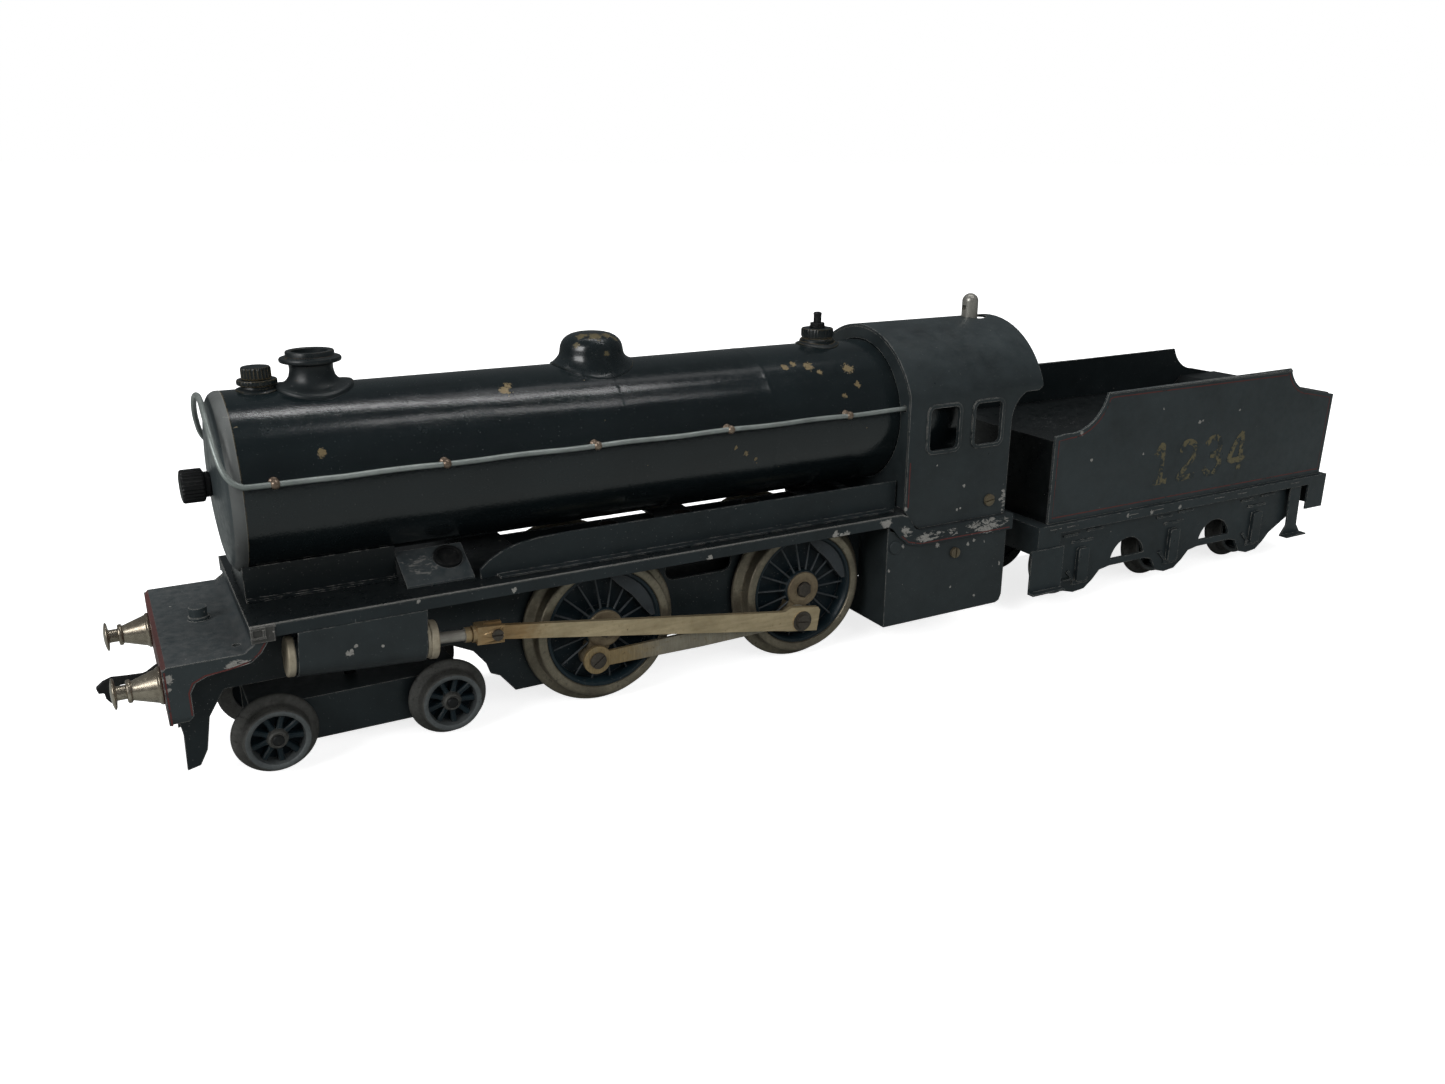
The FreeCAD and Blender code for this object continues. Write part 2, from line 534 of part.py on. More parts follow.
def piston_and_crosshead(side, angle_deg):
    """Piston, rod and slotted crosshead block in one piece, at the crank's rest angle."""
    y = side * CYL_Y
    pin_x = REAR_DRIVER_X - crosshead_distance(angle_deg)
    middle = REAR_DRIVER_X - CONROD_L
    head_x = (CYL_FRONT_X + CYL_REAR_X) / 2 + (pin_x - middle)
    head = rod(BORE_R - RUNNING_GAP, (head_x - 3, y, AXLE_Z), (head_x + 3, y, AXLE_Z))
    stem = rod(1.5, (head_x, y, AXLE_Z), (pin_x - 4, y, AXLE_Z))
    collar = rod(2.0, (pin_x - 8.1, y, AXLE_Z), (pin_x - 6.6, y, AXLE_Z))
    nut = rod(2.2, (pin_x - 6.2, y, AXLE_Z), (pin_x - 5.2, y, AXLE_Z))
    block = box(pin_x - 5.2, pin_x + 2.0, side * 21.2, side * 25.6, AXLE_Z - 2.4, AXLE_Z + 2.4)
    slot = box(pin_x - 3.0, pin_x + 3.0, side * (CONROD_Y[0] - 0.12), side * (CONROD_Y[1] + 0.12),
               AXLE_Z - 3, AXLE_Z + 3)
    body = join(head, stem, collar, nut, block).cut(slot)
    pin = join(rod(1.1, (pin_x, side * 21.2, AXLE_Z), (pin_x, side * 25.6, AXLE_Z)),
               slotted_head(pin_x, 25.6, AXLE_Z, 1.5, side))
    return [tilted(body.cut(pin)), tilted(pin)]


def connecting_rod(side, angle_deg):
    """Main rod with its strap big end; its small end turns on the crosshead pin."""
    y0, y1 = side * CONROD_Y[0], side * CONROD_Y[1]
    bar = [(1.6, 1.9), (CONROD_L - 9.5, 2.9), (CONROD_L - 6.5, 3.0), (CONROD_L - 4.5, 4.3),
           (CONROD_L + 5.2, 4.3), (CONROD_L + 6.0, 3.4)]
    outline = bar + [(s, -min(h, 3.2)) for s, h in reversed(bar)]
    shape = join(plate_xz(outline, y0, y1), rod(1.9, (0, y0, 0), (0, y1, 0)), box(0, 2, y0, y1, -1.9, 1.9))
    shape = shape.cut(rod(1.1 + RUNNING_GAP, (0, side * 20, 0), (0, side * 27, 0)))
    washer = rod(3.2, (CONROD_L, side * (CONROD_Y[1] - 0.1), 0), (CONROD_L, side * (CONROD_Y[1] + 0.3), 0))
    shape = join(shape, washer, slotted_head(CONROD_L, CONROD_Y[1] + 0.25, 0, 2.1, side))
    distance = crosshead_distance(angle_deg)
    tilt = math.radians(CYL_TILT_DEG)
    pin_x = REAR_DRIVER_X - distance * math.cos(tilt)
    pin_z = AXLE_Z + distance * math.sin(tilt)
    dx, dz = crank_offset(angle_deg)
    slope = math.atan2(pin_z - (AXLE_Z + dz), REAR_DRIVER_X + dx - pin_x)
    shape.rotate(V(0, 0, 0), V(0, 1, 0), math.degrees(slope))
    shape.translate(V(pin_x, 0, pin_z))
    return shape


def coupling_rod(side, angle_deg):
    """Rod that makes both driving axles turn together."""
    y0, y1 = side * COUPLING_Y[0], side * COUPLING_Y[1]
    dx, dz = crank_offset(angle_deg)
    xa, xb, z = FRONT_DRIVER_X + dx, REAR_DRIVER_X + dx, AXLE_Z + dz
    bar = plate_xz([(xa, z - 2.1), ((xa + xb) / 2, z - 2.6), (xb, z - 2.1), (xb, z + 2.1),
                    ((xa + xb) / 2, z + 2.6), (xa, z + 2.1)], y0, y1)
    eyes = [rod(4.1, (x, y0, z), (x, y1, z)) for x in (xa, xb)]
    body = join(bar, *eyes)
    for x in (xa, xb):
        body = body.cut(rod(CRANKPIN_R + RUNNING_GAP, (x, side * 19, z), (x, side * 23, z)))
    return body


def eccentric_rod(side, angle_deg):
    """Strap and rod that ride on one eccentric sheave of the driven axle."""
    a = math.radians(angle_deg)
    cx, cz = REAR_DRIVER_X + ECCENTRIC_THROW * math.cos(a), AXLE_Z + ECCENTRIC_THROW * math.sin(a)
    y0, y1 = side * 6.0, side * 8.0
    strap = rod(6.9, (cx, y0, cz), (cx, y1, cz))
    bar = plate_xz([(cx - 3.5, cz + 3.4), (cx - 2.5, cz + 6.0), (cx - 16.0, cz + 10.6), (cx - 94.0, cz + 11.6),
                    (cx - 94.0, cz + 8.8), (cx - 16.0, cz + 7.6)], y0 + side * 0.3, y1 - side * 0.3)
    eye = rod(2.0, (cx - 94.0, y0, cz + 10.2), (cx - 94.0, y1, cz + 10.2))
    hole = rod(0.9, (cx - 94.0, side * 5, cz + 10.2), (cx - 94.0, side * 9, cz + 10.2))
    bore = rod(ECCENTRIC_R + RUNNING_GAP, (cx, side * 5, cz), (cx, side * 9, cz))
    return join(strap, bar, eye).cut(bore).cut(hole)


def steam_chest():
    """Valve chest between the cylinders, the blast pipe and the steam pipe above it."""
    chest = box(-166.0, -143.5, -12.1, 12.1, 28.2, 40.2)
    blast = pipe(2.1, 1.3, (CHIMNEY_X, 0, 40.2), (CHIMNEY_X, 0, 86.0))
    supply = pipe(1.3, 0.8, (-146.0, 0, 40.2), (-146.0, 0, 78.0))
    return [chest, blast, supply]


def spirit_lamp():
    """Spirit tank below the cab with its feed pipe and three wick tubes under the boiler."""
    tank = box(10.0, 37.0, -10.5, 10.5, 21.0, 31.5)
    feed = rod(1.4, (12.0, 0, 28.9), (WICK_XS[0], 0, 28.9))
    wicks = [pipe(3.0, 2.4, (x, 0, 30.0), (x, 0, 46.6)) for x in WICK_XS]
    cups = [rod(3.0, (x, 0, 28.0), (x, 0, 30.4)) for x in WICK_XS]
    filler = rod(2.4, (32.0, 6.0, 31.0), (32.0, 6.0, 33.0))
    return join(tank, feed, filler, *wicks, *cups)


# wheels

def spokes(x, z, y0, y1, inner, outer, count, thick, start_deg=0.0):
    bars = []
    for i in range(count):
        bar = box(inner, outer, y0, y1, -thick / 2, thick / 2)
        bar.rotate(V(0, 0, 0), V(0, 1, 0), -(start_deg + 360.0 * i / count))
        bar.translate(V(x, 0, z))
        bars.append(bar)
    return bars


def driver_wheel(x, side, angle_deg):
    """Wheel centre cast with spokes on a thin web, a hub, a crank boss and a balance weight."""
    z = AXLE_Z
    rim = pipe(DRIVER_RIM_R, 15.6, (x, side * 14.6, z), (x, side * 19.2, z))
    hub = rod(DRIVER_HUB_R, (x, side * 14.2, z), (x, side * 20.1, z))
    web = rod(15.8, (x, side * WEB_Y[0], z), (x, side * WEB_Y[1], z))
    bars = spokes(x, z, side * WEB_Y[1], side * 18.0, 3.5, 16.2, DRIVER_SPOKES, 0.9, angle_deg)
    dx, dz = crank_offset(angle_deg)
    boss = rod(3.4, (x + dx, side * 15.2, z + dz), (x + dx, side * 20.1, z + dz))
    weight_arc = arc_points(x, z, 16.0, angle_deg + WEIGHT_DEG[0], angle_deg + WEIGHT_DEG[1], 8)
    weight = plate_xz(weight_arc, side * 15.4, side * 18.6)
    body = join(rim, hub, boss, weight, web, *bars)
    body = body.cut(rod(AXLE_R, (x, side * 13, z), (x, side * 21, z)))
    return body.cut(rod(CRANKPIN_R, (x + dx, side * 13, z + dz), (x + dx, side * 21, z + dz)))


def tyre(x, z, side, inner, tread, flange):
    """Turned steel tyre with a slightly coned tread and a rounded flange."""
    profile = [(inner, WHEEL_BACK), (flange - 0.6, WHEEL_BACK), (flange, WHEEL_BACK + 0.6),
               (flange, WHEEL_BACK + 1.0), (flange - 0.7, FLANGE_FACE), (tread + 0.3, FLANGE_FACE + 0.3),
               (tread - 0.1, WHEEL_FACE - 0.3), (tread - 0.4, WHEEL_FACE), (inner, WHEEL_FACE)]
    return turned(profile, (x, 0, z), (0, side, 0))


def driving_wheelset(x):
    """Both wheel centres, the axle and the two crankpins as separate solids."""
    parts = []
    angles = {-1: LEFT_CRANK_DEG, 1: RIGHT_CRANK_DEG}
    for side, angle in angles.items():
        parts.append(driver_wheel(x, side, angle))
        dx, dz = crank_offset(angle)
        pin = rod(CRANKPIN_R, (x + dx, side * 14.6, AXLE_Z + dz), (x + dx, side * 22.3, AXLE_Z + dz))
        head = rod(2.3, (x + dx, side * 21.75, AXLE_Z + dz), (x + dx, side * 22.3, AXLE_Z + dz))
        parts.append(join(pin, head))
    parts.append(rod(AXLE_R, (x, -AXLE_HALF, AXLE_Z), (x, AXLE_HALF, AXLE_Z)))
    return parts


def driving_tyres(x):
    return [tyre(x, AXLE_Z, side, DRIVER_RIM_R, DRIVER_TREAD_R, DRIVER_FLANGE_R) for side in (-1, 1)]


def eccentrics():
    sheaves = []
    for side, angle in ((-1, LEFT_CRANK_DEG + 90), (1, RIGHT_CRANK_DEG + 90)):
        a = math.radians(angle)
        x, z = REAR_DRIVER_X + ECCENTRIC_THROW * math.cos(a), AXLE_Z + ECCENTRIC_THROW * math.sin(a)
        disc = join(rod(ECCENTRIC_R, (x, side * 6.0, z), (x, side * 8.0, z)),
                    rod(6.2, (x, side * 8.1, z), (x, side * 8.9, z)),
                    rod(4.0, (REAR_DRIVER_X, side * 8.1, AXLE_Z), (REAR_DRIVER_X, side * 10.6, AXLE_Z)))
        sheaves.append(disc.cut(rod(AXLE_R, (REAR_DRIVER_X, -20, AXLE_Z), (REAR_DRIVER_X, 20, AXLE_Z))))
    return sheaves


def small_wheelset(x, flange, tread, hub, spoke_count, axle_end):
    """Carrying axle with two spoked wheels."""
    z = flange
    parts = [rod(SMALL_AXLE_R, (x, -axle_end, z), (x, axle_end, z))]
    for side in (-1, 1):
        inner = tread - 1.7
        ring = tyre(x, z, side, inner, tread, flange)
        centre = rod(hub, (x, side * 14.2, z), (x, side * 19.7, z))
        web = rod(inner + 0.2, (x, side * WEB_Y[0], z), (x, side * WEB_Y[1], z))
        bars = spokes(x, z, side * WEB_Y[1], side * 18.2, hub - 0.6, inner + 0.5, spoke_count, 1.0)
        wheel = join(ring, centre, web, *bars)
        parts.append(wheel.cut(rod(SMALL_AXLE_R, (x, side * 13, z), (x, side * 21, z))))
    return parts


# bogie

def bogie_frame():
    """Folded sheet bogie frame with axle holes in its side plates."""
    outline = [(-180.6, 16.4), (-180.6, 7.0), (-178.0, 4.6), (-130.0, 4.6), (-127.4, 7.0), (-127.4, 16.4)]
    side = plate_xz(outline, -11.2, -10.2)
    for x in BOGIE_AXLES_X:
        side = side.cut(rod(SMALL_AXLE_R + RUNNING_GAP, (x, -13, BOGIE_FLANGE_R), (x, -9, BOGIE_FLANGE_R)))
    top = box(-180.6, -127.4, -11.2, 11.2, 15.6, 16.4)
    hole = rod(SMALL_AXLE_R + RUNNING_GAP, (BOGIE_PIVOT_X, 0, 10), (BOGIE_PIVOT_X, 0, 20))
    return join(side, mirrored(side), top).cut(hole)


def pivot_pins():
    """Headed pins that carry the bogie and the front of the drawbar."""
    x = BOGIE_PIVOT_X
    bogie_pin = join(rod(1.5, (x, 0, 14.0), (x, 0, 27.0)), rod(2.8, (x, 0, 13.6), (x, 0, 15.0)))
    x = DRAWBAR_PINS_X[0]
    bar_pin = join(rod(1.5, (x, 0, 27.4), (x, 0, 35.0)), rod(2.6, (x, 0, 27.0), (x, 0, 28.4)))
    return [bogie_pin, bar_pin]


# buffers and couplings

def buffer_stocks():
    """Tapered housings fixed to the beam."""
    profile = [(0, -4.2), (2.55, -4.2), (2.55, 0), (4.5, 0), (4.5, 0.7), (4.1, 1.1), (2.3, 6.3),
               (2.6, 6.5), (2.6, 7.5), (0, 7.5)]
    stock = turned(profile, (BEAM_X, -BUFFER_Y, BUFFER_Z), (-1, 0, 0))
    bores = [rod(1.75, (BEAM_X - 8, -BUFFER_Y, BUFFER_Z), (BEAM_X + 1, -BUFFER_Y, BUFFER_Z)),
             rod(1.8, (BEAM_X - 3.0, -BUFFER_Y, BUFFER_Z), (BEAM_X + 3.4, -BUFFER_Y, BUFFER_Z)),
             rod(0.85, (BEAM_X, -BUFFER_Y, BUFFER_Z), (BEAM_X + 5.0, -BUFFER_Y, BUFFER_Z))]
    for bore in bores:
        stock = stock.cut(bore)
    return both_sides(stock)


def buffer_plunger(side):
    y = side * BUFFER_Y
    profile = [(0, 2.0), (1.7, 2.0), (1.7, 9.56), (3.0, 9.7), (3.6, 9.9), (3.55, 10.3), (2.4, 10.7), (0, 10.9)]
    shank = turned(profile, (BEAM_X, y, BUFFER_Z), (-1, 0, 0))
    tail = rod(0.8, (BEAM_X - 2.5, y, BUFFER_Z), (BEAM_X + 4.6, y, BUFFER_Z))
    return join(shank, tail)


def buffer_spring(side):
    """Sleeve that stands for the coil between the plunger shoulder and the spring seat."""
    y = side * BUFFER_Y
    return pipe(1.55, 1.05, (BEAM_X - 1.9, y, BUFFER_Z), (BEAM_X + 3.3, y, BUFFER_Z))


def coupling_hook():
    """Flat drawhook on the beam with a short nose and a downturned end."""
    outline = [(-196.0, 28.4), (-199.6, 28.2), (-202.3, 26.5), (-206.2, 26.7), (-209.6, 27.0), (-211.6, 26.3),
               (-213.2, 25.0), (-212.8, 23.5), (-211.6, 23.4), (-211.4, 21.9), (-210.5, 20.5), (-209.4, 20.8),
               (-208.9, 22.4), (-209.2, 23.8), (-208.0, 24.8), (-196.0, 25.2)]
    return join(plate_xz(outline, -0.75, 0.75), box(-198.2, -197.8, -2.4, 2.4, 25.2, 28.6))


def drawbar():
    """Flat bar between the locomotive and the tender."""
    a, b = DRAWBAR_PINS_X
    bar = join(box(a, b, -2.6, 2.6, DRAWBAR_Z, DRAWBAR_Z + 1.2), rod(3.4, (a, 0, DRAWBAR_Z), (a, 0, DRAWBAR_Z + 1.2)),
               rod(3.4, (b, 0, DRAWBAR_Z), (b, 0, DRAWBAR_Z + 1.2)))
    for x in DRAWBAR_PINS_X:
        bar = bar.cut(rod(1.5 + RUNNING_GAP, (x, 0, 20), (x, 0, 40)))
    return bar


# tender

def tender_body():
    """Side and rear sheets of the tender, with coved top edges and an outward lip."""
    front_cove = arc_points(76.0, 77.2, 15.2, -97, -12, 10)
    rear_cove = arc_points(196.5, 79.0, 13.2, 199, 268, 8)
    outline = [(68.6, TENDER_FOOT_Z), (68.6, 61.6)] + front_cove + rear_cove + [(211.2, 62.8),
               (210.4, TENDER_FOOT_Z)]
    side = plate_xz(outline, -TENDER_HALF, -TENDER_HALF + SHEET)
    lip = box(91.2, 183.8, -TENDER_HALF - 0.7, -TENDER_HALF, 73.6, 74.2)
    rear = box(209.4, 210.2, -26.3, 26.3, TENDER_FOOT_Z, 62.8)
    return join(side, lip, mirrored(side), mirrored(lip), rear)


def tender_deck():
    """Front plate, coal plate and tank top, bent from one sheet."""
    outline = [(68.6, TENDER_FOOT_Z), (68.6, 60.0), (185.3, 60.0), (189.3, 63.6), (209.3, 63.6),
               (209.3, 62.8), (189.7, 62.8), (185.7, 59.2), (69.4, 59.2), (69.4, TENDER_FOOT_Z)]
    return plate_xz(outline, -26.15, 26.15)


def tender_footplate():
    """Tender running plate with turned-down edges and end beams."""
    x0, x1 = TENDER_X
    top = box(x0, x1, -FOOT_HALF, FOOT_HALF, TENDER_FOOT_Z - SHEET, TENDER_FOOT_Z - 0.02)
    edge = box(x0, x1, -FOOT_HALF, -FOOT_HALF + SHEET, 28.4, 31.2)
    front = box(x0, x0 + SHEET, -FOOT_HALF, FOOT_HALF, 21.5, 31.2).cut(box(x0 - 1, x0 + 2, -12, 12, 20, 30.4))
    rear = box(x1 - SHEET, x1, -FOOT_HALF, FOOT_HALF, 18.5, 31.2)
    corners = [box(x0, x0 + 10, -FOOT_HALF, -FOOT_HALF + SHEET, 21.5, 31.2),
               box(x1 - 10, x1, -FOOT_HALF, -FOOT_HALF + SHEET, 18.5, 31.2)]
    body = join(top, edge, mirrored(edge), front, rear, *corners, *[mirrored(c) for c in corners])
    body = body.cut(box(x1 - 2, x1 + 1, -0.8, 0.8, 24.5, 29.0))
    return body.cut(rod(1.5, (DRAWBAR_PINS_X[1], 0, 25), (DRAWBAR_PINS_X[1], 0, 40)))


def tender_frame(side):
    """Pressed side frame with horn lobes, lightening holes, axleboxes and leaf springs."""
    outline = [(64.6, 30.85), (199.4, 30.85), (199.4, 20.0), (196.5, 15.6)]
    for i, x in enumerate(reversed(TENDER_AXLES_X)):
        outline += [(x + 9.5, 10.6), (x + 6.5, 7.6), (x + 2.8, 4.9), (x - 2.4, 4.4), (x - 6.8, 5.6)]
        if i < 2:
            outline += [(x - 9.8, 10.4), (x - 13.5, 11.4), (x - 31.0, 11.4)]
    outline += [(64.6, 9.4)]
    y0, y1 = side * TENDER_FRAME_Y[0], side * TENDER_FRAME_Y[1]
    plate = plate_xz(outline, y0, y1)
    for i in (0, 1):
        mid = (TENDER_AXLES_X[i] + TENDER_AXLES_X[i + 1]) / 2
        disc = rod(8.4, (mid, side * 24, 12.2), (mid, side * 26, 12.2))
        plate = plate.cut(disc.cut(box(mid - 12, mid + 12, side * 23, side * 27, 0, 13.8)))
    pads = []
    for x in TENDER_AXLES_X:
        pads.append(rounded_block(x - 2.4, x + 2.4, y1, side * 26.9, 8.4, 20.6, 0.9))
        pads.append(box(x - 3.6, x + 3.6, y1, side * 26.1, 7.4, 9.2))
        for x0, x1, z in ((x - 9.6, x - 2.0, 25.4), (x + 1.6, x + 9.2, 26.0), (x - 5.2, x + 4.6, 22.6)):
            pads.append(box(x0, x1, y1, side * 26.0, z, z + 0.8))
    plate = join(plate, *pads)
    for x in TENDER_AXLES_X:
        socket = rod(SMALL_AXLE_R + RUNNING_GAP, (x, side * 24, TENDER_FLANGE_R), (x, side * 26.0, TENDER_FLANGE_R))
        plate = plate.cut(socket)
    return plate


def tender_steps():
    front = join(box(60.6, 75.0, -29.2, -28.65, 8.9, 24.0), box(60.6, 75.0, -31.4, -28.65, 8.9, 9.5))
    strap = plate_xz([(193.6, 28.0), (199.8, 28.0), (200.4, 12.6), (203.0, 9.4), (191.6, 9.4), (194.2, 13.0)],
                     -27.75, -27.15)
    rear = join(strap, box(191.6, 203.0, -30.6, -27.15, 8.9, 9.5))
    return both_sides(front) + both_sides(rear)


def tender_couplings():
    """Rear drawhook and the pin that takes the drawbar."""
    hook = plate_xz([(211.0, 28.2), (214.0, 28.2), (215.6, 27.2), (218.4, 27.3), (219.2, 25.8), (218.8, 22.6),
                     (217.4, 22.8), (217.4, 24.6), (211.0, 25.2)], -0.75, 0.75)
    x = DRAWBAR_PINS_X[1]
    pin = join(rod(1.5, (x, 0, 27.4), (x, 0, 31.6)), rod(2.6, (x, 0, 27.0), (x, 0, 28.4)))
    return [hook, pin]


def main():
    os.makedirs("parts", exist_ok=True)
    save("main_frames", main_frames())
    save("axle_bushes", *axle_bushes())
    save("front_platform", front_platform())
    save("footplate", footplate())
    save("saddle", saddle())
    save("boiler_barrel", boiler_barrel())
    save("smokebox_front", smokebox_front())
    save("boiler_flue", *boiler_flue())
    save("chimney", chimney())
    save("dome", dome())
    save("boiler_fittings", *boiler_fittings())
    save("filler_cap", filler_cap())
    save("safety_valve_stem", safety_valve_stem())
    save("front_knob", front_knob())
    save("handrail", handrail())
    save("handrail_knobs", *handrail_knobs())
    save("fire_shields", *fire_shields())
    save("lubricator", lubricator())
    save("cab_shell", cab_shell())
    save("cab_front", cab_front())
    save("firebox_casing", firebox_casing())
    save("body_screws", *body_screws())
    save("whistle", *whistle())
    save("cylinders", *cylinders())
    save("cylinder_covers", *cylinder_covers())
    save("cylinder_cladding", *cylinder_cladding())
    save("steam_chest", *steam_chest())
    save("spirit_lamp", spirit_lamp())
    save("front_driving_wheels", *driving_wheelset(FRONT_DRIVER_X))
    save("front_driving_tyres", *driving_tyres(FRONT_DRIVER_X))
    save("rear_driving_wheels", *driving_wheelset(REAR_DRIVER_X), *eccentrics())
    save("rear_driving_tyres", *driving_tyres(REAR_DRIVER_X))
    for name, side, angle in (("left", -1, LEFT_CRANK_DEG), ("right", 1, RIGHT_CRANK_DEG)):
        save("piston_" + name, *piston_and_crosshead(side, angle))
        save("connecting_rod_" + name, connecting_rod(side, angle))
        save("coupling_rod_" + name, coupling_rod(side, angle))
        save("eccentric_rod_" + name, eccentric_rod(side, angle + 90))
        save("buffer_plunger_" + name, buffer_plunger(side))
        save("buffer_spring_" + name, buffer_spring(side))
    save("bogie_frame", bogie_frame())
    save("bogie_front_wheelset", *small_wheelset(BOGIE_AXLES_X[0], BOGIE_FLANGE_R, BOGIE_TREAD_R, 2.5, 9, 20.1))
    save("bogie_rear_wheelset", *small_wheelset(BOGIE_AXLES_X[1], BOGIE_FLANGE_R, BOGIE_TREAD_R, 2.5, 9, 20.1))
    save("pivot_pins", *pivot_pins())
    save("buffer_stocks", *buffer_stocks())
    save("coupling_hook", coupling_hook())
    save("drawbar", drawbar())
    save("tender_body", tender_body())
    save("tender_deck", tender_deck())
    save("tender_footplate", tender_footplate())
    save("tender_frames", tender_frame(-1), tender_frame(1))
    save("tender_steps", *tender_steps())
    save("tender_couplings", *tender_couplings())
    for name, x in zip(("front", "middle", "rear"), TENDER_AXLES_X):
        save("tender_%s_wheelset" % name, *small_wheelset(x, TENDER_FLANGE_R, TENDER_TREAD_R, 3.0, 8, 25.4))


main()
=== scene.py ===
"""Looks of the model steam locomotive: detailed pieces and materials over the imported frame.

Lengths are millimetres in the same drawn frame as the CAD source, and at() turns them into metres.
"""

import json
from math import asin, copysign, cos, pi, radians, sin, sqrt

import bmesh
import bpy
from mathutils import Matrix, Vector, noise

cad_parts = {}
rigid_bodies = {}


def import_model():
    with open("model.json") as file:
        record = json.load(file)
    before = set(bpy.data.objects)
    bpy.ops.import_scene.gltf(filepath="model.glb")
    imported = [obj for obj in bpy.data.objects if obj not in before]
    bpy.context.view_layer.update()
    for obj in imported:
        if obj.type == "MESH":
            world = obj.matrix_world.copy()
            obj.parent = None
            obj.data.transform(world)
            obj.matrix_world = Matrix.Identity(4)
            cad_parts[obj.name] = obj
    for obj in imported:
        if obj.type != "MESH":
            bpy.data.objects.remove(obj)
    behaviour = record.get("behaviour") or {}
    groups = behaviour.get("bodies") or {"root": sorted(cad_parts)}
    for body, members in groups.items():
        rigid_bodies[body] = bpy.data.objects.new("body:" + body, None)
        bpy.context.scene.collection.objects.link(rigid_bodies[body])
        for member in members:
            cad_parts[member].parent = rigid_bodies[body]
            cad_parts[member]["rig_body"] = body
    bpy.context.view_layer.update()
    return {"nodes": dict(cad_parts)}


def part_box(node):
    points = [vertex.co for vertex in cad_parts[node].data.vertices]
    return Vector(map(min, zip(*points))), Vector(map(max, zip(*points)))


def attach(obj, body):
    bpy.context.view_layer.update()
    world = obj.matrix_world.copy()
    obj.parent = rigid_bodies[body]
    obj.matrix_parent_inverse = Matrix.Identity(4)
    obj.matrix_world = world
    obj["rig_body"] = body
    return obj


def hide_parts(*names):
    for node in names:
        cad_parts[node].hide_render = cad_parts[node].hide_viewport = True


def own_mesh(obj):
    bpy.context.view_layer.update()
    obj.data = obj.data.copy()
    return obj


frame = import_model()

MM = 0.001
SHIFT = -3.0
SCENE = bpy.context.scene

# the part's own dimensions, in millimetres
BOILER_R, BOILER_Z = 22.0, 72.0
FRONT_X, BARREL_X, BOILER_REAR_X = -178.6, -176.8, 33.4
CHIMNEY_X, FILLER_X, DOME_X, SAFETY_X = -155.5, -168.3, -81.6, -7.5
SAFETY_TOP_Z = 98.7
FRONT_DRIVER_X, REAR_DRIVER_X, AXLE_Z = -88.1, -22.7, 22.7
CRANK_R = 8.7
CRANK_DEG = {-1: 247.0, 1: 157.0}
CYL_FRONT_X, CYL_REAR_X, CYL_Y, CYL_TILT = -171.0, -139.6, 23.4, radians(4.2)
BEAM_X, BUFFER_Y, BUFFER_Z = -199.2, 19.0, 30.5
RAIL_Y, RAIL_Z = 23.9, 76.1
BOGIE_XS = (-175.9, -132.2)
TENDER_XS = (87.3, 132.5, 177.7)
DRIVER_TREAD, DRIVER_FLANGE = 19.9, 22.7
BOGIE_TREAD, BOGIE_FLANGE = 8.2, 10.5
TENDER_TREAD, TENDER_FLANGE = 11.3, 13.6
# outer faces of the side plates
CAB_Y, CASING_Y, PLATFORM_Y, VALANCE_Y = 27.0, 27.7, 28.4, 28.6
SIDES = (-1, 1)


def at(x, y, z):
    """A drawn point in millimetres as a point of the row frame in metres."""
    return Vector(((x + SHIFT) * MM, y * MM, z * MM))


# ---------------------------------------------------------------- materials

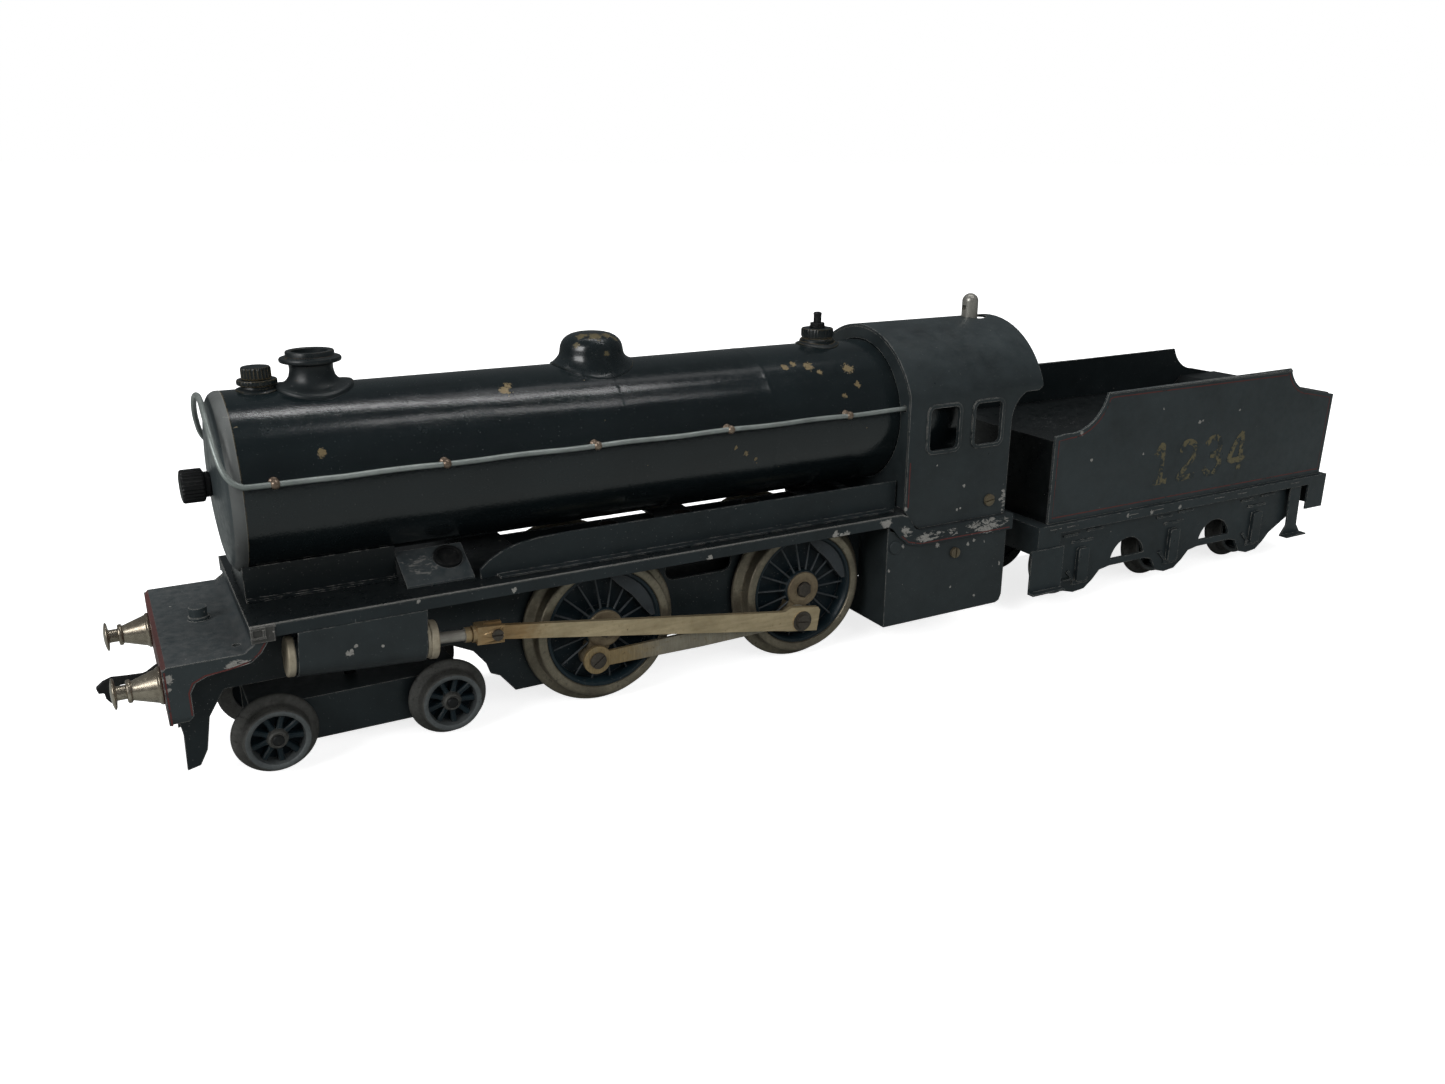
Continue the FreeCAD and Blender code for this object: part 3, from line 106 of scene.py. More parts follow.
class Shader:
    """A material's nodes, with short calls for the ones used here."""

    def __init__(self, name):
        self.mat = bpy.data.materials.new(name)
        self.mat.use_nodes = True
        self.tree = self.mat.node_tree
        self.tree.nodes.clear()
        self.place = self.add("ShaderNodeTexCoord").outputs["Object"]
        self.normal = self.add("ShaderNodeNewGeometry").outputs["Normal"]

    def add(self, kind, inputs=None, **settings):
        node = self.tree.nodes.new(kind)
        for key, value in settings.items():
            setattr(node, key, value)
        for key, value in (inputs or {}).items():
            self.put(node.inputs[key], value)
        return node

    def put(self, socket, value):
        if isinstance(value, bpy.types.NodeSocket):
            self.tree.links.new(value, socket)
        else:
            socket.default_value = value

    def math(self, operation, a, b=0.0, clamp=False):
        node = self.add("ShaderNodeMath", {0: a, 1: b}, operation=operation, use_clamp=clamp)
        return node.outputs[0]

    def times(self, a, b):
        return self.math("MULTIPLY", a, b)

    def plus(self, a, b, clamp=False):
        return self.math("ADD", a, b, clamp)

    def most(self, *values):
        total = values[0]
        for value in values[1:]:
            total = self.math("MAXIMUM", total, value)
        return total

    def noise(self, scale, detail=4.0, rough=0.55, stretch=None, warp=0.0):
        vector = self.place
        if stretch:
            vector = self.add("ShaderNodeMapping", {"Vector": vector, "Scale": stretch}).outputs[0]
        node = self.add("ShaderNodeTexNoise", {"Vector": vector, "Scale": scale, "Detail": detail,
                                               "Roughness": rough, "Distortion": warp})
        return node.outputs[0]

    def step(self, value, low, high):
        """0 below low, 1 above high and smooth between."""
        node = self.add("ShaderNodeMapRange", {0: value, 1: low, 2: high, 3: 0.0, 4: 1.0},
                        interpolation_type="SMOOTHSTEP")
        return node.outputs[0]

    def range(self, value, low, high):
        """Takes the middle of a noise's range to low..high."""
        node = self.add("ShaderNodeMapRange", {0: value, 1: 0.3, 2: 0.7, 3: low, 4: high})
        return node.outputs[0]

    def blend(self, factor, a, b):
        node = self.add("ShaderNodeMix", data_type="RGBA")
        self.put(node.inputs[0], factor)
        self.put(node.inputs[6], a)
        self.put(node.inputs[7], b)
        return node.outputs[2]

    def edge(self, radius_mm, low=0.03, high=0.25):
        """1 near sharp edges and 0 on flat faces."""
        bevel = self.add("ShaderNodeBevel", {"Radius": radius_mm * MM}, samples=4)
        dot = self.add("ShaderNodeVectorMath", {0: bevel.outputs[0], 1: self.normal}, operation="DOT_PRODUCT")
        return self.step(self.math("SUBTRACT", 1.0, dot.outputs["Value"]), low, high)

    def spots(self, places):
        """1 inside ragged spots, each given as x, y, z and radius in drawn millimetres."""
        wobble = self.add("ShaderNodeTexNoise", {"Vector": self.place, "Scale": 1100.0, "Detail": 6.0,
                                                 "Roughness": 0.68, "Distortion": 0.5})
        found = []
        for x, y, z, r in places:
            gap = self.add("ShaderNodeVectorMath", {0: self.place, 1: at(x, y, z)}, operation="DISTANCE")
            size = self.times(gap.outputs["Value"], 1.0 / (r * MM))
            size = self.plus(size, self.range(wobble.outputs[0], -0.75, 0.75))
            found.append(self.step(size, 1.0, 0.86))
        return self.most(*found)

    def zone(self, centre, half):
        """1 near the middle of an ellipsoid, falling to 0 at its surface."""
        mapped = self.add("ShaderNodeVectorMath", {0: self.place, 1: at(*centre)}, operation="SUBTRACT")
        scaled = self.add("ShaderNodeVectorMath", {0: mapped.outputs[0],
                                                   1: [1.0 / (h * MM) for h in half]}, operation="MULTIPLY")
        length = self.add("ShaderNodeVectorMath", {0: scaled.outputs[0]}, operation="LENGTH")
        return self.step(length.outputs["Value"], 1.0, 0.25)

    def upward(self):
        return self.step(self.add("ShaderNodeSeparateXYZ", {0: self.normal}).outputs[2], 0.35, 0.95)

    def finish(self, colour, rough, metal=0.0, bump=None, strength=0.3, height=0.1, **fixed):
        inputs = {"Base Color": colour, "Roughness": rough, "Metallic": metal}
        if bump is not None:
            node = self.add("ShaderNodeBump", {"Height": bump, "Strength": strength, "Distance": height * MM})
            inputs["Normal"] = node.outputs[0]
            if fixed.get("Coat_Weight"):
                inputs["Coat Normal"] = node.outputs[0]
        shader = self.add("ShaderNodeBsdfPrincipled", inputs)
        for key, value in fixed.items():
            shader.inputs[key.replace("_", " ")].default_value = value
        self.add("ShaderNodeOutputMaterial", {"Surface": shader.outputs[0]})
        return self.mat


def rgb(r, g, b):
    return (r, g, b, 1.0)


def shade(colour, k):
    return rgb(*[c * k for c in colour[:3]])


# The third colour is for pale worn edges; on the footplate's top edge it is also a painted highlight.
DUST, GRIT, BARE_EDGE_AND_HIGHLIGHT = rgb(0.085, 0.088, 0.088), rgb(0.3, 0.3, 0.29), rgb(0.16, 0.16, 0.155)
DIRT = rgb(0.02, 0.018, 0.015)


def enamel(name, colour, rough, wear, chips, specks, dust, under=rgb(0.42, 0.41, 0.38), spots=(), zones=(),
           specular=0.34, coat=0.0, streak=(1.0, 1.0, 1.0), above=None, pale=1.0, peel=0.16):
    """Old stove enamel over sheet metal: worn edges, chips, specks, dust and uneven gloss.

    pale is the strength of the pale worn edges, and above keeps wear to the edges over a height in
    millimetres.
    On the footplate, where both are set, that pale line is partly wear and partly a painted highlight on the
    top edge.
    peel is the depth of the ripples in the film; a deep one is coarse too.
    """
    coarse = peel > 0.2
    s = Shader(name)
    broad = s.noise(45.0, 5.0, 0.6)
    middle = s.noise(420.0, 6.0, 0.62)
    fine = s.noise(3200.0, 4.0, 0.6)
    streaks = s.noise(160.0, 4.0, 0.6, stretch=streak)
    ripple = s.noise(1500.0, 3.0, 0.6) if coarse else fine
    edge = s.edge(0.55) if above is None else s.edge(1.0, 0.008, 0.1)
    if above is not None:
        height = s.add("ShaderNodeSeparateXYZ", {0: s.place}).outputs[2]
        edge = s.times(edge, s.step(height, (above - 0.4) * MM, (above + 0.4) * MM))
    worn = s.step(s.plus(s.times(edge, 0.62), middle), 1.12 - 0.35 * wear, 1.2 - 0.35 * wear)
    masks = [worn]
    if chips:
        sparse = s.noise(520.0, 3.0, 0.5, warp=0.6)
        masks.append(s.step(s.plus(sparse, s.times(broad, 0.25)), 0.905 - 0.06 * chips,
                            0.925 - 0.06 * chips))
    if spots:
        masks.append(s.spots(spots))
    if zones:
        ragged = s.noise(820.0, 6.0, 0.72, stretch=(0.5, 1.0, 1.25), warp=0.7)
        for centre, half, amount in zones:
            level = s.plus(ragged, s.times(s.zone(centre, half), 0.26 * amount))
            masks.append(s.step(level, 0.735, 0.76))
    mask = s.most(*masks)
    base = s.blend(s.range(broad, 0.0, 1.0), shade(colour, 0.72), shade(colour, 1.35))
    base = s.blend(s.times(s.range(streaks, 0.0, 1.0), 0.45), base, shade(colour, 1.7))
    dusty = s.times(s.upward(), s.times(s.range(middle, 0.1, 1.0), dust))
    base = s.blend(dusty, base, DUST)
    tiny = s.noise(2300.0, 2.0, 0.5)
    grit = s.times(s.step(tiny, 0.715, 0.75), 0.65 * specks)
    base = s.blend(grit, base, GRIT)
    # Pale worn edges; where pale is raised, on the footplate, they are also a painted highlight.
    edge_wear_and_highlight = s.times(edge, s.range(fine, 0.05 * pale, 0.3 * pale))
    base = s.blend(edge_wear_and_highlight, base, BARE_EDGE_AND_HIGHLIGHT)
    metal_colour = s.blend(s.range(fine, 0.0, 1.0), shade(under, 0.55), under)
    full = s.blend(mask, base, metal_colour)
    gloss = s.plus(s.range(middle, rough - 0.08, rough + 0.1), s.range(streaks, -0.06, 0.08))
    gloss = s.plus(gloss, s.times(s.most(mask, dusty), 0.22), clamp=True)
    film = s.plus(s.times(ripple, peel), s.times(middle, 0.5))
    relief = s.math("SUBTRACT", film, s.times(mask, 0.7))
    return s.finish(full, gloss, s.times(mask, 0.25), relief, 0.35, 0.12 if coarse else 0.07,
                    Specular_IOR_Level=specular, Coat_Weight=coat, Coat_Roughness=0.09)


def metal(name, bright, dark, rough, grime, pits, brush=(1.0, 1.0, 1.0), brush_scale=900.0, metallic=0.6,
          other=None, relief=0.4):
    """Bare metal with tarnish, brushed marks, patches of grime and small pits."""
    s = Shader(name)
    broad = s.noise(110.0, 6.0, 0.62)
    middle = s.noise(700.0, 6.0, 0.6)
    lines = s.noise(brush_scale, 5.0, 0.7, stretch=brush)
    base = s.blend(s.range(broad, 0.0, 1.0), dark, bright)
    base = s.blend(s.range(lines, 0.0, 0.42), base, shade(dark, 0.55))
    if other:
        colour, centre, half = other
        place = s.plus(s.zone(centre, half), s.range(middle, -0.25, 0.25), clamp=True)
        base = s.blend(place, base, s.blend(s.range(lines, 0.0, 1.0), colour, shade(colour, 0.6)))
    dirty = s.step(s.plus(middle, s.times(broad, 0.5)), 0.98 - 0.32 * grime, 1.12 - 0.2 * grime)
    pitted = s.step(s.noise(1900.0, 2.0, 0.5), 0.7 - 0.05 * pits, 0.74)
    mask = s.most(s.times(dirty, 0.85), s.times(pitted, pits))
    full = s.blend(mask, base, DIRT)
    bare = s.times(s.math("SUBTRACT", 1.0, mask), metallic)
    gloss = s.plus(s.range(lines, rough - 0.07, rough + 0.12), s.times(mask, 0.3), clamp=True)
    bumps = s.math("SUBTRACT", s.plus(s.times(lines, 0.4), s.times(middle, 0.3)),
                   s.times(mask, 0.4))
    return s.finish(full, gloss, bare, bumps, relief, 0.05)


def on_side(y, *marks):
    """Spots on a side plate, each given as x, z and radius."""
    return [(x, y, z, r) for x, z, r in marks]


def painted_mark(name, colour, ground, cover):
    """Old hand-painted line or figure, worn through to the enamel under it."""
    s = Shader(name)
    patchy = s.noise(520.0, 6.0, 0.68, warp=0.3)
    broad = s.noise(120.0, 3.0, 0.5)
    keep = s.step(s.plus(patchy, s.times(broad, 0.4)), 0.9 - 0.4 * cover, 0.99 - 0.4 * cover)
    fine = s.noise(2600.0, 3.0, 0.5)
    ink = s.blend(s.range(fine, 0.0, 1.0), shade(colour, 0.7), shade(colour, 1.15))
    under = s.blend(s.range(broad, 0.0, 1.0), shade(ground, 0.9), shade(ground, 1.3))
    return s.finish(s.blend(s.times(keep, 0.86), under, ink), s.range(fine, 0.4, 0.58), 0.0, keep, 0.2, 0.02,
                    Specular_IOR_Level=0.3)


PAINT = rgb(0.0125, 0.0172, 0.019)
SHEET = rgb(0.0185, 0.0238, 0.0255)
BOILER = rgb(0.0055, 0.0085, 0.0095)
BRASS_WORN = rgb(0.23, 0.175, 0.09)
ON_BOILER = [(-110.7, -11.9, 90.5, 1.5), (-109.4, -10.4, 91.4, 1.0), (-26.8, -12.9, 89.9, 1.2),
             (-23.6, -12.1, 90.4, 1.0), (-19.1, -13.2, 89.6, 1.5), (-16.2, -15.2, 87.9, 0.9),
             (-6.1, -14.9, 88.2, 1.6), (-4.8, -18.5, 83.9, 1.0), (-10.3, -19.9, 81.4, 0.8),
             (-158.4, -19.9, 81.4, 1.1), (-44.6, -21.6, 68.1, 0.7), (-48.0, -21.9, 70.2, 0.6),
             (-41.2, -21.2, 66.0, 0.6), (20.0, 9.0, 92.0, 1.3), (-60.0, 15.0, 88.0, 1.4),
             (-120.0, 18.0, 84.6, 1.1)]

# slot: {key: (name, colour, roughness, (wear, chips, specks, dust), other settings)}
ENAMELS = {
    "boiler_enamel": {
        "boiler": ("boiler_enamel", BOILER, 0.16, (0.3, 0.2, 0.25, 0.02), dict(
            under=BRASS_WORN, spots=ON_BOILER, coat=0.45, streak=(0.1, 1.0, 1.0), pale=0.4, peel=0.8)),
        "plate": ("smokebox_plate_enamel", shade(SHEET, 1.5), 0.36, (0.5, 0.4, 0.9, 0.1), dict(
            under=rgb(0.3, 0.3, 0.28), specular=0.5, pale=1.3)),
        # The smokebox rim is a light grey copy of the enamel: partly worn edges and partly a painted
        # highlight on its rounded edge.
        "rim": ("smokebox_rim_enamel", rgb(0.085, 0.09, 0.088), 0.4, (0.6, 0.7, 1.0, 0.1), dict(
            under=rgb(0.3, 0.3, 0.27), specular=0.5)),
        "fitting": ("fitting_enamel", shade(BOILER, 0.8), 0.32, (0.75, 0.5, 0.7, 0.1), dict(
            under=BRASS_WORN, specular=0.45)),
        "chimney": ("chimney_enamel", rgb(0.0095, 0.0125, 0.0135), 0.36, (0.6, 0.5, 0.8, 0.12), dict(
            under=rgb(0.1, 0.07, 0.045), specular=0.42, pale=0.6)),
        "dome": ("dome_enamel", BOILER, 0.26, (0.4, 0.4, 0.5, 0.02), dict(
            under=rgb(0.14, 0.115, 0.06), spots=[(-82.6, -5.0, 101.2, 1.8), (-85.5, -3.2, 101.4, 1.5),
                                                 (-79.0, -4.6, 101.0, 1.5), (-88.0, -5.0, 99.4, 0.9),
                                                 (-80.6, -8.6, 97.0, 0.8), (-76.8, -5.2, 99.8, 0.9)],
            specular=0.45, coat=0.4, pale=0.4)),
    },
    "black_enamel": {
        "paint": ("black_enamel", PAINT, 0.4, (0.45, 0.3, 0.6, 0.2), {}),
        # The saddle is a darker copy of the black enamel: painted shade for the boiler's shadow over it.
        "saddle": ("saddle_enamel", shade(PAINT, 0.4), 0.36, (0.08, 0.25, 0.7, 0.03), dict(
            streak=(0.12, 1.0, 1.0), pale=0.15)),
        "shield": ("shield_enamel", shade(PAINT, 0.9), 0.38, (0.15, 0.2, 0.6, 0.1), dict(
            specular=0.32, pale=0.3)),
        # The footplate's top faces are a darker copy of the black enamel: painted shade for the dark that
        # their gloss reflects. Their strong pale edges are partly worn paint and partly a painted highlight
        # along the top edge.
        "shaded_foot_top": ("footplate_top_enamel", shade(PAINT, 0.4), 0.3, (0.6, 0.3, 0.9, 0.06), dict(
            specular=0.36, pale=2.4)),
        "skirt": ("skirt_enamel", shade(PAINT, 1.6), 0.5, (0.8, 0.8, 1.0, 0.5), dict(
            specular=0.3, under=rgb(0.2, 0.2, 0.19), zones=[((-136.5, -16.0, 48.2), (7.5, 9.0, 5.0), 0.9)])),
        "frame": ("frame_enamel", shade(PAINT, 0.85), 0.45, (0.4, 0.3, 0.8, 0.1), dict(specular=0.3)),
        # The pale line along the footplate's top edge, held there by above and made strong by pale, is partly
        # worn paint and partly a painted highlight where light catches the rounded edge.
        "foot": ("footplate_enamel", PAINT, 0.4, (1.15, 0.45, 0.9, 0.3), dict(
            above=43.7, pale=3.0, spots=on_side(-VALANCE_Y, (-17.8, 41.9, 1.1), (-13.9, 40.9, 1.3),
                                                (-15.8, 41.3, 0.9), (0.3, 42.6, 1.6), (1.6, 42.9, 1.0),
                                                (7.6, 39.6, 1.2), (-116.7, 42.2, 0.7), (-60.0, 41.6, 0.8),
                                                (-141.0, 43.9, 0.6)), zones=[((17.0, -28.6, 36.0),
                                                                              (9.5, 3.0, 3.2), 1.1),
                                                                             ((27.0, -28.6, 36.4),
                                                                              (4.5, 3.0, 2.6), 0.9),
                                                                             ((39.0, -28.6, 36.2),
                                                                              (11.5, 3.0, 4.2), 1.15),
                                                                             ((47.6, -28.6, 36.4),
                                                                              (4.5, 3.0, 3.0), 1.0),
                                                                             ((9.0, -28.6, 39.0),
                                                                              (3.6, 3.0, 4.0), 0.85),
                                                                             ((-15.6, -28.6, 41.2),
                                                                              (4.5, 2.0, 1.6), 0.8)])),
        "cladding": ("cladding_enamel", SHEET, 0.4, (0.15, 0.2, 0.45, 0.1), dict(
            pale=0.2, spots=on_side(-VALANCE_Y, (-158.5, 33.4, 0.8), (-158.0, 34.2, 0.5), (-156.9, 35.2, 0.4),
                                    (-150.5, 33.9, 0.35)))),
        # The tender deck is a darker copy of the sheet enamel: painted shade for the shadow of the tender's
        # sides and the dark its gloss reflects.
        "deck": ("deck_enamel", shade(SHEET, 0.2), 0.34, (0.4, 0.4, 0.8, 0.04), dict(
            zones=[((90.0, -5.0, 60.0), (26.0, 26.0, 3.0), 0.5)], under=rgb(0.12, 0.12, 0.12))),
        "tender_frame": ("tender_frame_enamel", shade(PAINT, 1.25), 0.36, (0.2, 0.25, 0.5, 0.2), dict(
            pale=0.3, spots=on_side(-VALANCE_Y, (116.5, 29.7, 0.8), (130.8, 29.6, 0.7), (104.7, 30.0, 0.7)),
            specular=0.36)),
    },
    "sheet_enamel": {
        # Faces under the cab roof and inside the tender's sides take a darker, duller copy of the black
        # enamel: painted shade inside the cab and tender.
        "inside": ("cab_inside_enamel", shade(PAINT, 0.45), 0.5, (0.2, 0.2, 0.4, 0.0), dict(
            specular=0.2, pale=0.3)),
        "front": ("front_enamel", shade(SHEET, 1.3), 0.42, (0.5, 0.3, 0.9, 0.7), dict(
            spots=[(-198.1, -28.4, 35.4, 1.0), (-198.3, -28.4, 33.0, 0.6), (-199.2, -24.6, 25.5, 0.7)],
            zones=[((-182.6, -28.4, 35.9), (5.4, 3.0, 2.0), 1.2)], specular=0.38)),
        "beam": ("beam_red", rgb(0.066, 0.023, 0.021), 0.45, (0.6, 0.5, 0.7, 0.1), {}),
        "lug": ("lug_worn", rgb(0.045, 0.045, 0.042), 0.5, (0.9, 0.9, 1.0, 0.2), dict(specular=0.3)),
        "cab": ("cab_enamel", SHEET, 0.38, (0.35, 0.25, 0.4, 0.12), dict(
            pale=0.6, spots=on_side(-CAB_Y, (31.2, 50.0, 0.45), (29.0, 42.5, 0.5), (30.3, 42.9, 0.3),
                                    (8.7, 45.7, 0.6), (46.5, 43.6, 0.5), (20.0, 58.0, 0.25)),
            zones=[((47.9, -27.0, 44.0), (1.6, 1.5, 10.0), 0.9)], specular=0.36)),
        "casing": ("casing_enamel", shade(SHEET, 0.95), 0.4, (0.35, 0.15, 0.35, 0.1), dict(
            spots=on_side(-CASING_Y, (7.9, 34.0, 0.6), (21.7, 32.3, 0.9), (34.0, 30.5, 0.6),
                          (36.4, 31.5, 0.5), (38.1, 12.5, 0.5), (27.8, 17.2, 0.35), (3.0, 26.8, 0.45),
                          (47.9, 22.0, 0.5)))),
        "tender": ("tender_enamel", shade(SHEET, 1.25), 0.4, (0.45, 0.2, 0.4, 0.2), dict(
            spots=on_side(-CAB_Y, (137.4, 59.5, 0.7), (139.0, 59.8, 0.5), (158.0, 61.7, 0.45),
                          (86.0, 51.8, 0.6), (150.0, 43.4, 0.35), (80.2, 61.6, 0.7), (110.5, 51.0, 0.4),
                          (143.0, 52.0, 0.35), (118.0, 66.0, 0.35)), specular=0.36)),
    },
    "dark_steel": {
        "wheel": ("wheel_enamel", rgb(0.007, 0.014, 0.018), 0.42, (0.6, 0.3, 0.7, 0.0), dict(
            under=rgb(0.1, 0.1, 0.095), specular=0.3)),
        # The web disc behind the spokes is darker than the wheel enamel: partly the wheels' own web, partly
        # painted shade for the shade seen between the spokes.
        "web": ("wheel_web_enamel", rgb(0.004, 0.0085, 0.0115), 0.45, (0.2, 0.6, 1.0, 0.0), dict(
            under=rgb(0.06, 0.065, 0.065), specular=0.24, pale=0.3)),
        "weight": ("weight_enamel", rgb(0.034, 0.04, 0.044), 0.45, (0.5, 0.3, 0.7, 0.0), dict(
            under=rgb(0.12, 0.12, 0.12), specular=0.3)),
    },
}
# slot: {key: (name, bright colour, dark colour, roughness, (grime, pits), other settings)}
METALS = {
    "bright_steel": {
        "bar": ("piston_rod_steel", rgb(0.5, 0.48, 0.43), rgb(0.36, 0.34, 0.3), 0.3, (0.12, 0.15), dict(
            brush_scale=260.0, metallic=0.5)),
        "tyre": ("tyre_steel", rgb(0.34, 0.3, 0.22), rgb(0.16, 0.14, 0.105), 0.38, (0.45, 0.45), dict(
            metallic=0.7)),
        "steel": ("rod_steel", rgb(0.44, 0.4, 0.31), rgb(0.25, 0.23, 0.185), 0.45, (0.36, 0.5), dict(
            brush=(5.0, 1.0, 0.5), brush_scale=520.0, other=(rgb(0.42, 0.31, 0.16), (-91.0, -21.0, 15.0),
                                                             (22.0, 12.0, 16.0)))),
    },
    "dark_steel": {
        "spoke": ("spoke_steel", rgb(0.1, 0.112, 0.12), rgb(0.045, 0.052, 0.056), 0.45, (0.3, 0.4), dict(
            metallic=0.4)),
        "dark": ("blackened_steel", rgb(0.03, 0.031, 0.031), rgb(0.012, 0.013, 0.014), 0.42, (0.5, 0.5), {}),
        "pin": ("pin_steel", rgb(0.12, 0.105, 0.085), rgb(0.055, 0.048, 0.04), 0.45, (0.45, 0.6), dict(
            metallic=0.5)),
    },
    "iron": {
        "iron": ("wheel_iron", rgb(0.14, 0.14, 0.13), rgb(0.055, 0.055, 0.05), 0.6, (0.55, 0.9), dict(
            metallic=0.3)),
        "iron_rim": (
            "wheel_rim_iron", rgb(0.17, 0.185, 0.185), rgb(0.085, 0.095, 0.098), 0.48, (0.35, 0.5),
            dict(metallic=0.35)),
    },
    "brass": {
        "brass": ("rod_brass", rgb(0.66, 0.54, 0.34), rgb(0.44, 0.355, 0.215), 0.42, (0.2, 0.35), dict(
            brush=(0.12, 1.0, 1.0), brush_scale=900.0, other=(rgb(0.44, 0.29, 0.14), (-119.0, -24.0, 29.0),
                                                              (16.0, 12.0, 12.0)))),
        "hub": ("hub_brass", rgb(0.38, 0.31, 0.2), rgb(0.18, 0.135, 0.085), 0.45, (0.45, 0.6), dict(
            metallic=0.5)),
        "screw": ("screw_brass", rgb(0.3, 0.25, 0.16), rgb(0.13, 0.105, 0.07), 0.42, (0.4, 0.5), {}),
        "knob": ("knob_brass", rgb(0.36, 0.28, 0.21), rgb(0.15, 0.105, 0.075), 0.28, (0.4, 0.4), {}),
        # This copper is given nearly black: painted shade for the shade between the frames, where the spirit
        # lamp sits.
        "copper": ("pipe_copper", rgb(0.03, 0.022, 0.018), rgb(0.011, 0.009, 0.008), 0.5, (0.6, 0.4), dict(
            metallic=0.3)),
    },
    "nickel": {
        "nickel": ("worn_nickel", rgb(0.56, 0.5, 0.4), rgb(0.24, 0.2, 0.15), 0.24, (0.36, 0.3), dict(
            metallic=0.85, relief=0.12)),
        "cover": ("cover_nickel", rgb(0.56, 0.5, 0.38), rgb(0.36, 0.31, 0.22), 0.45, (0.2, 0.3), dict(
            metallic=0.3)),
        "whistle": ("whistle_nickel", rgb(0.5, 0.49, 0.44), rgb(0.3, 0.29, 0.26), 0.3, (0.2, 0.3), {}),
    },
    "wire": {
        "wire": ("galvanised_wire", rgb(0.42, 0.46, 0.44), rgb(0.25, 0.28, 0.265), 0.42, (0.14, 0.25), dict(
            brush=(0.3, 1.0, 1.0))),
    },
}
M = {
    "red": painted_mark("red_lining", rgb(0.13, 0.032, 0.028), SHEET, 0.85),
    "gold": painted_mark("worn_gold_figures", rgb(0.15, 0.128, 0.066), shade(SHEET, 1.25), 0.62),
}
SLOT = {"red": "sheet_enamel", "gold": "sheet_enamel"}
for slot_name, rows in ENAMELS.items():
    for key, (name, colour, rough, age, other) in rows.items():
        M[key], SLOT[key] = enamel(name, colour, rough, *age, **other), slot_name
for slot_name, rows in METALS.items():
    for key, (name, bright, dark, rough, age, other) in rows.items():
        M[key], SLOT[key] = metal(name, bright, dark, rough, *age, **other), slot_name


# ---------------------------------------------------------------- shapes

EDGE_DEGREES = 32.0


def body_of(node):
    return frame["nodes"][node]["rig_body"]


def smooth(mesh, degrees):
    mesh.shade_smooth()
    mesh.set_sharp_from_angle(angle=radians(degrees))


def dress(obj, nodes, body=None):
    """Puts a new piece on its body, in place of the CAD nodes it stands for."""
    SCENE.collection.objects.link(obj)
    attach(obj, body or body_of(nodes[0]))
    if nodes:
        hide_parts(*nodes)
    return obj


def bevelled(obj, width):
    modifier = obj.modifiers.new("edges", "BEVEL")
    modifier.width = width * MM
    modifier.segments = 2
    modifier.limit_method = "ANGLE"
    modifier.angle_limit = radians(EDGE_DEGREES)
    modifier.harden_normals = True
    modifier.use_clamp_overlap = True
    return obj


def refined(node, key, width, rules):
    """The CAD node's own shape with rounded edges, as a new piece.

    Each rule is another material and a test of a face's middle, in drawn millimetres, and its normal.
    """
    shape = bmesh.new()
    shape.from_mesh(frame["nodes"][node].data)
    bmesh.ops.remove_doubles(shape, verts=shape.verts, dist=2e-6)
    bmesh.ops.dissolve_limit(shape, angle_limit=radians(0.5), verts=shape.verts, edges=shape.edges)
    for face in shape.faces:
        face.material_index = 0
        middle = face.calc_center_median() / MM - Vector((SHIFT, 0, 0))
        for index, (_, test) in enumerate(rules):
            if test(middle, face.normal):
                face.material_index = index + 1
    mesh = bpy.data.meshes.new(node + "_looks")
    shape.to_mesh(mesh)
    shape.free()
    for name in ("custom_normal", "sharp_edge", "sharp_face"):
        if name in mesh.attributes:
            mesh.attributes.remove(mesh.attributes[name])
    for name in [key] + [rule[0] for rule in rules]:
        mesh.materials.append(M[name])
    smooth(mesh, EDGE_DEGREES)
    obj = bpy.data.objects.new(node + "_looks", mesh)
    bevelled(dress(obj, [node]), width)


def rounded(points, radius):
    """A polyline with its corners rounded off."""
    out = [points[0]]
    for before, here, after in zip(points, points[1:], points[2:]):
        a, b, c = (Vector(p) for p in (before, here, after))
        d = min(radius, 0.42 * (a - b).length, 0.42 * (c - b).length)
        if d < 1e-4:
            out.append(here)
            continue
        p, q = b + (a - b).normalized() * d, b + (c - b).normalized() * d
        for t in (0.0, 0.33, 0.67, 1.0):
            out.append(tuple(p * (1 - t) ** 2 + b * 2 * t * (1 - t) + q * t * t))
    return out + [points[-1]]


def arc(cx, cz, radius, start, end, count=12):
    angles = [radians(start + (end - start) * i / count) for i in range(count + 1)]
    return [(cx + radius * cos(a), cz + radius * sin(a)) for a in angles]


def stitched(rings, steps):
    """Faces between neighbouring rings of points. A ring of one point closes the end."""
    faces = []
    for low, high in zip(rings, rings[1:]):
        for i in range(steps):
            j = (i + 1) % steps
            quad = [low[i % len(low)], low[j % len(low)], high[j % len(high)], high[i % len(high)]]
            quad = [q for n, q in enumerate(quad) if q not in quad[:n]]
            if len(quad) > 2:
                faces.append(tuple(quad))
    return faces


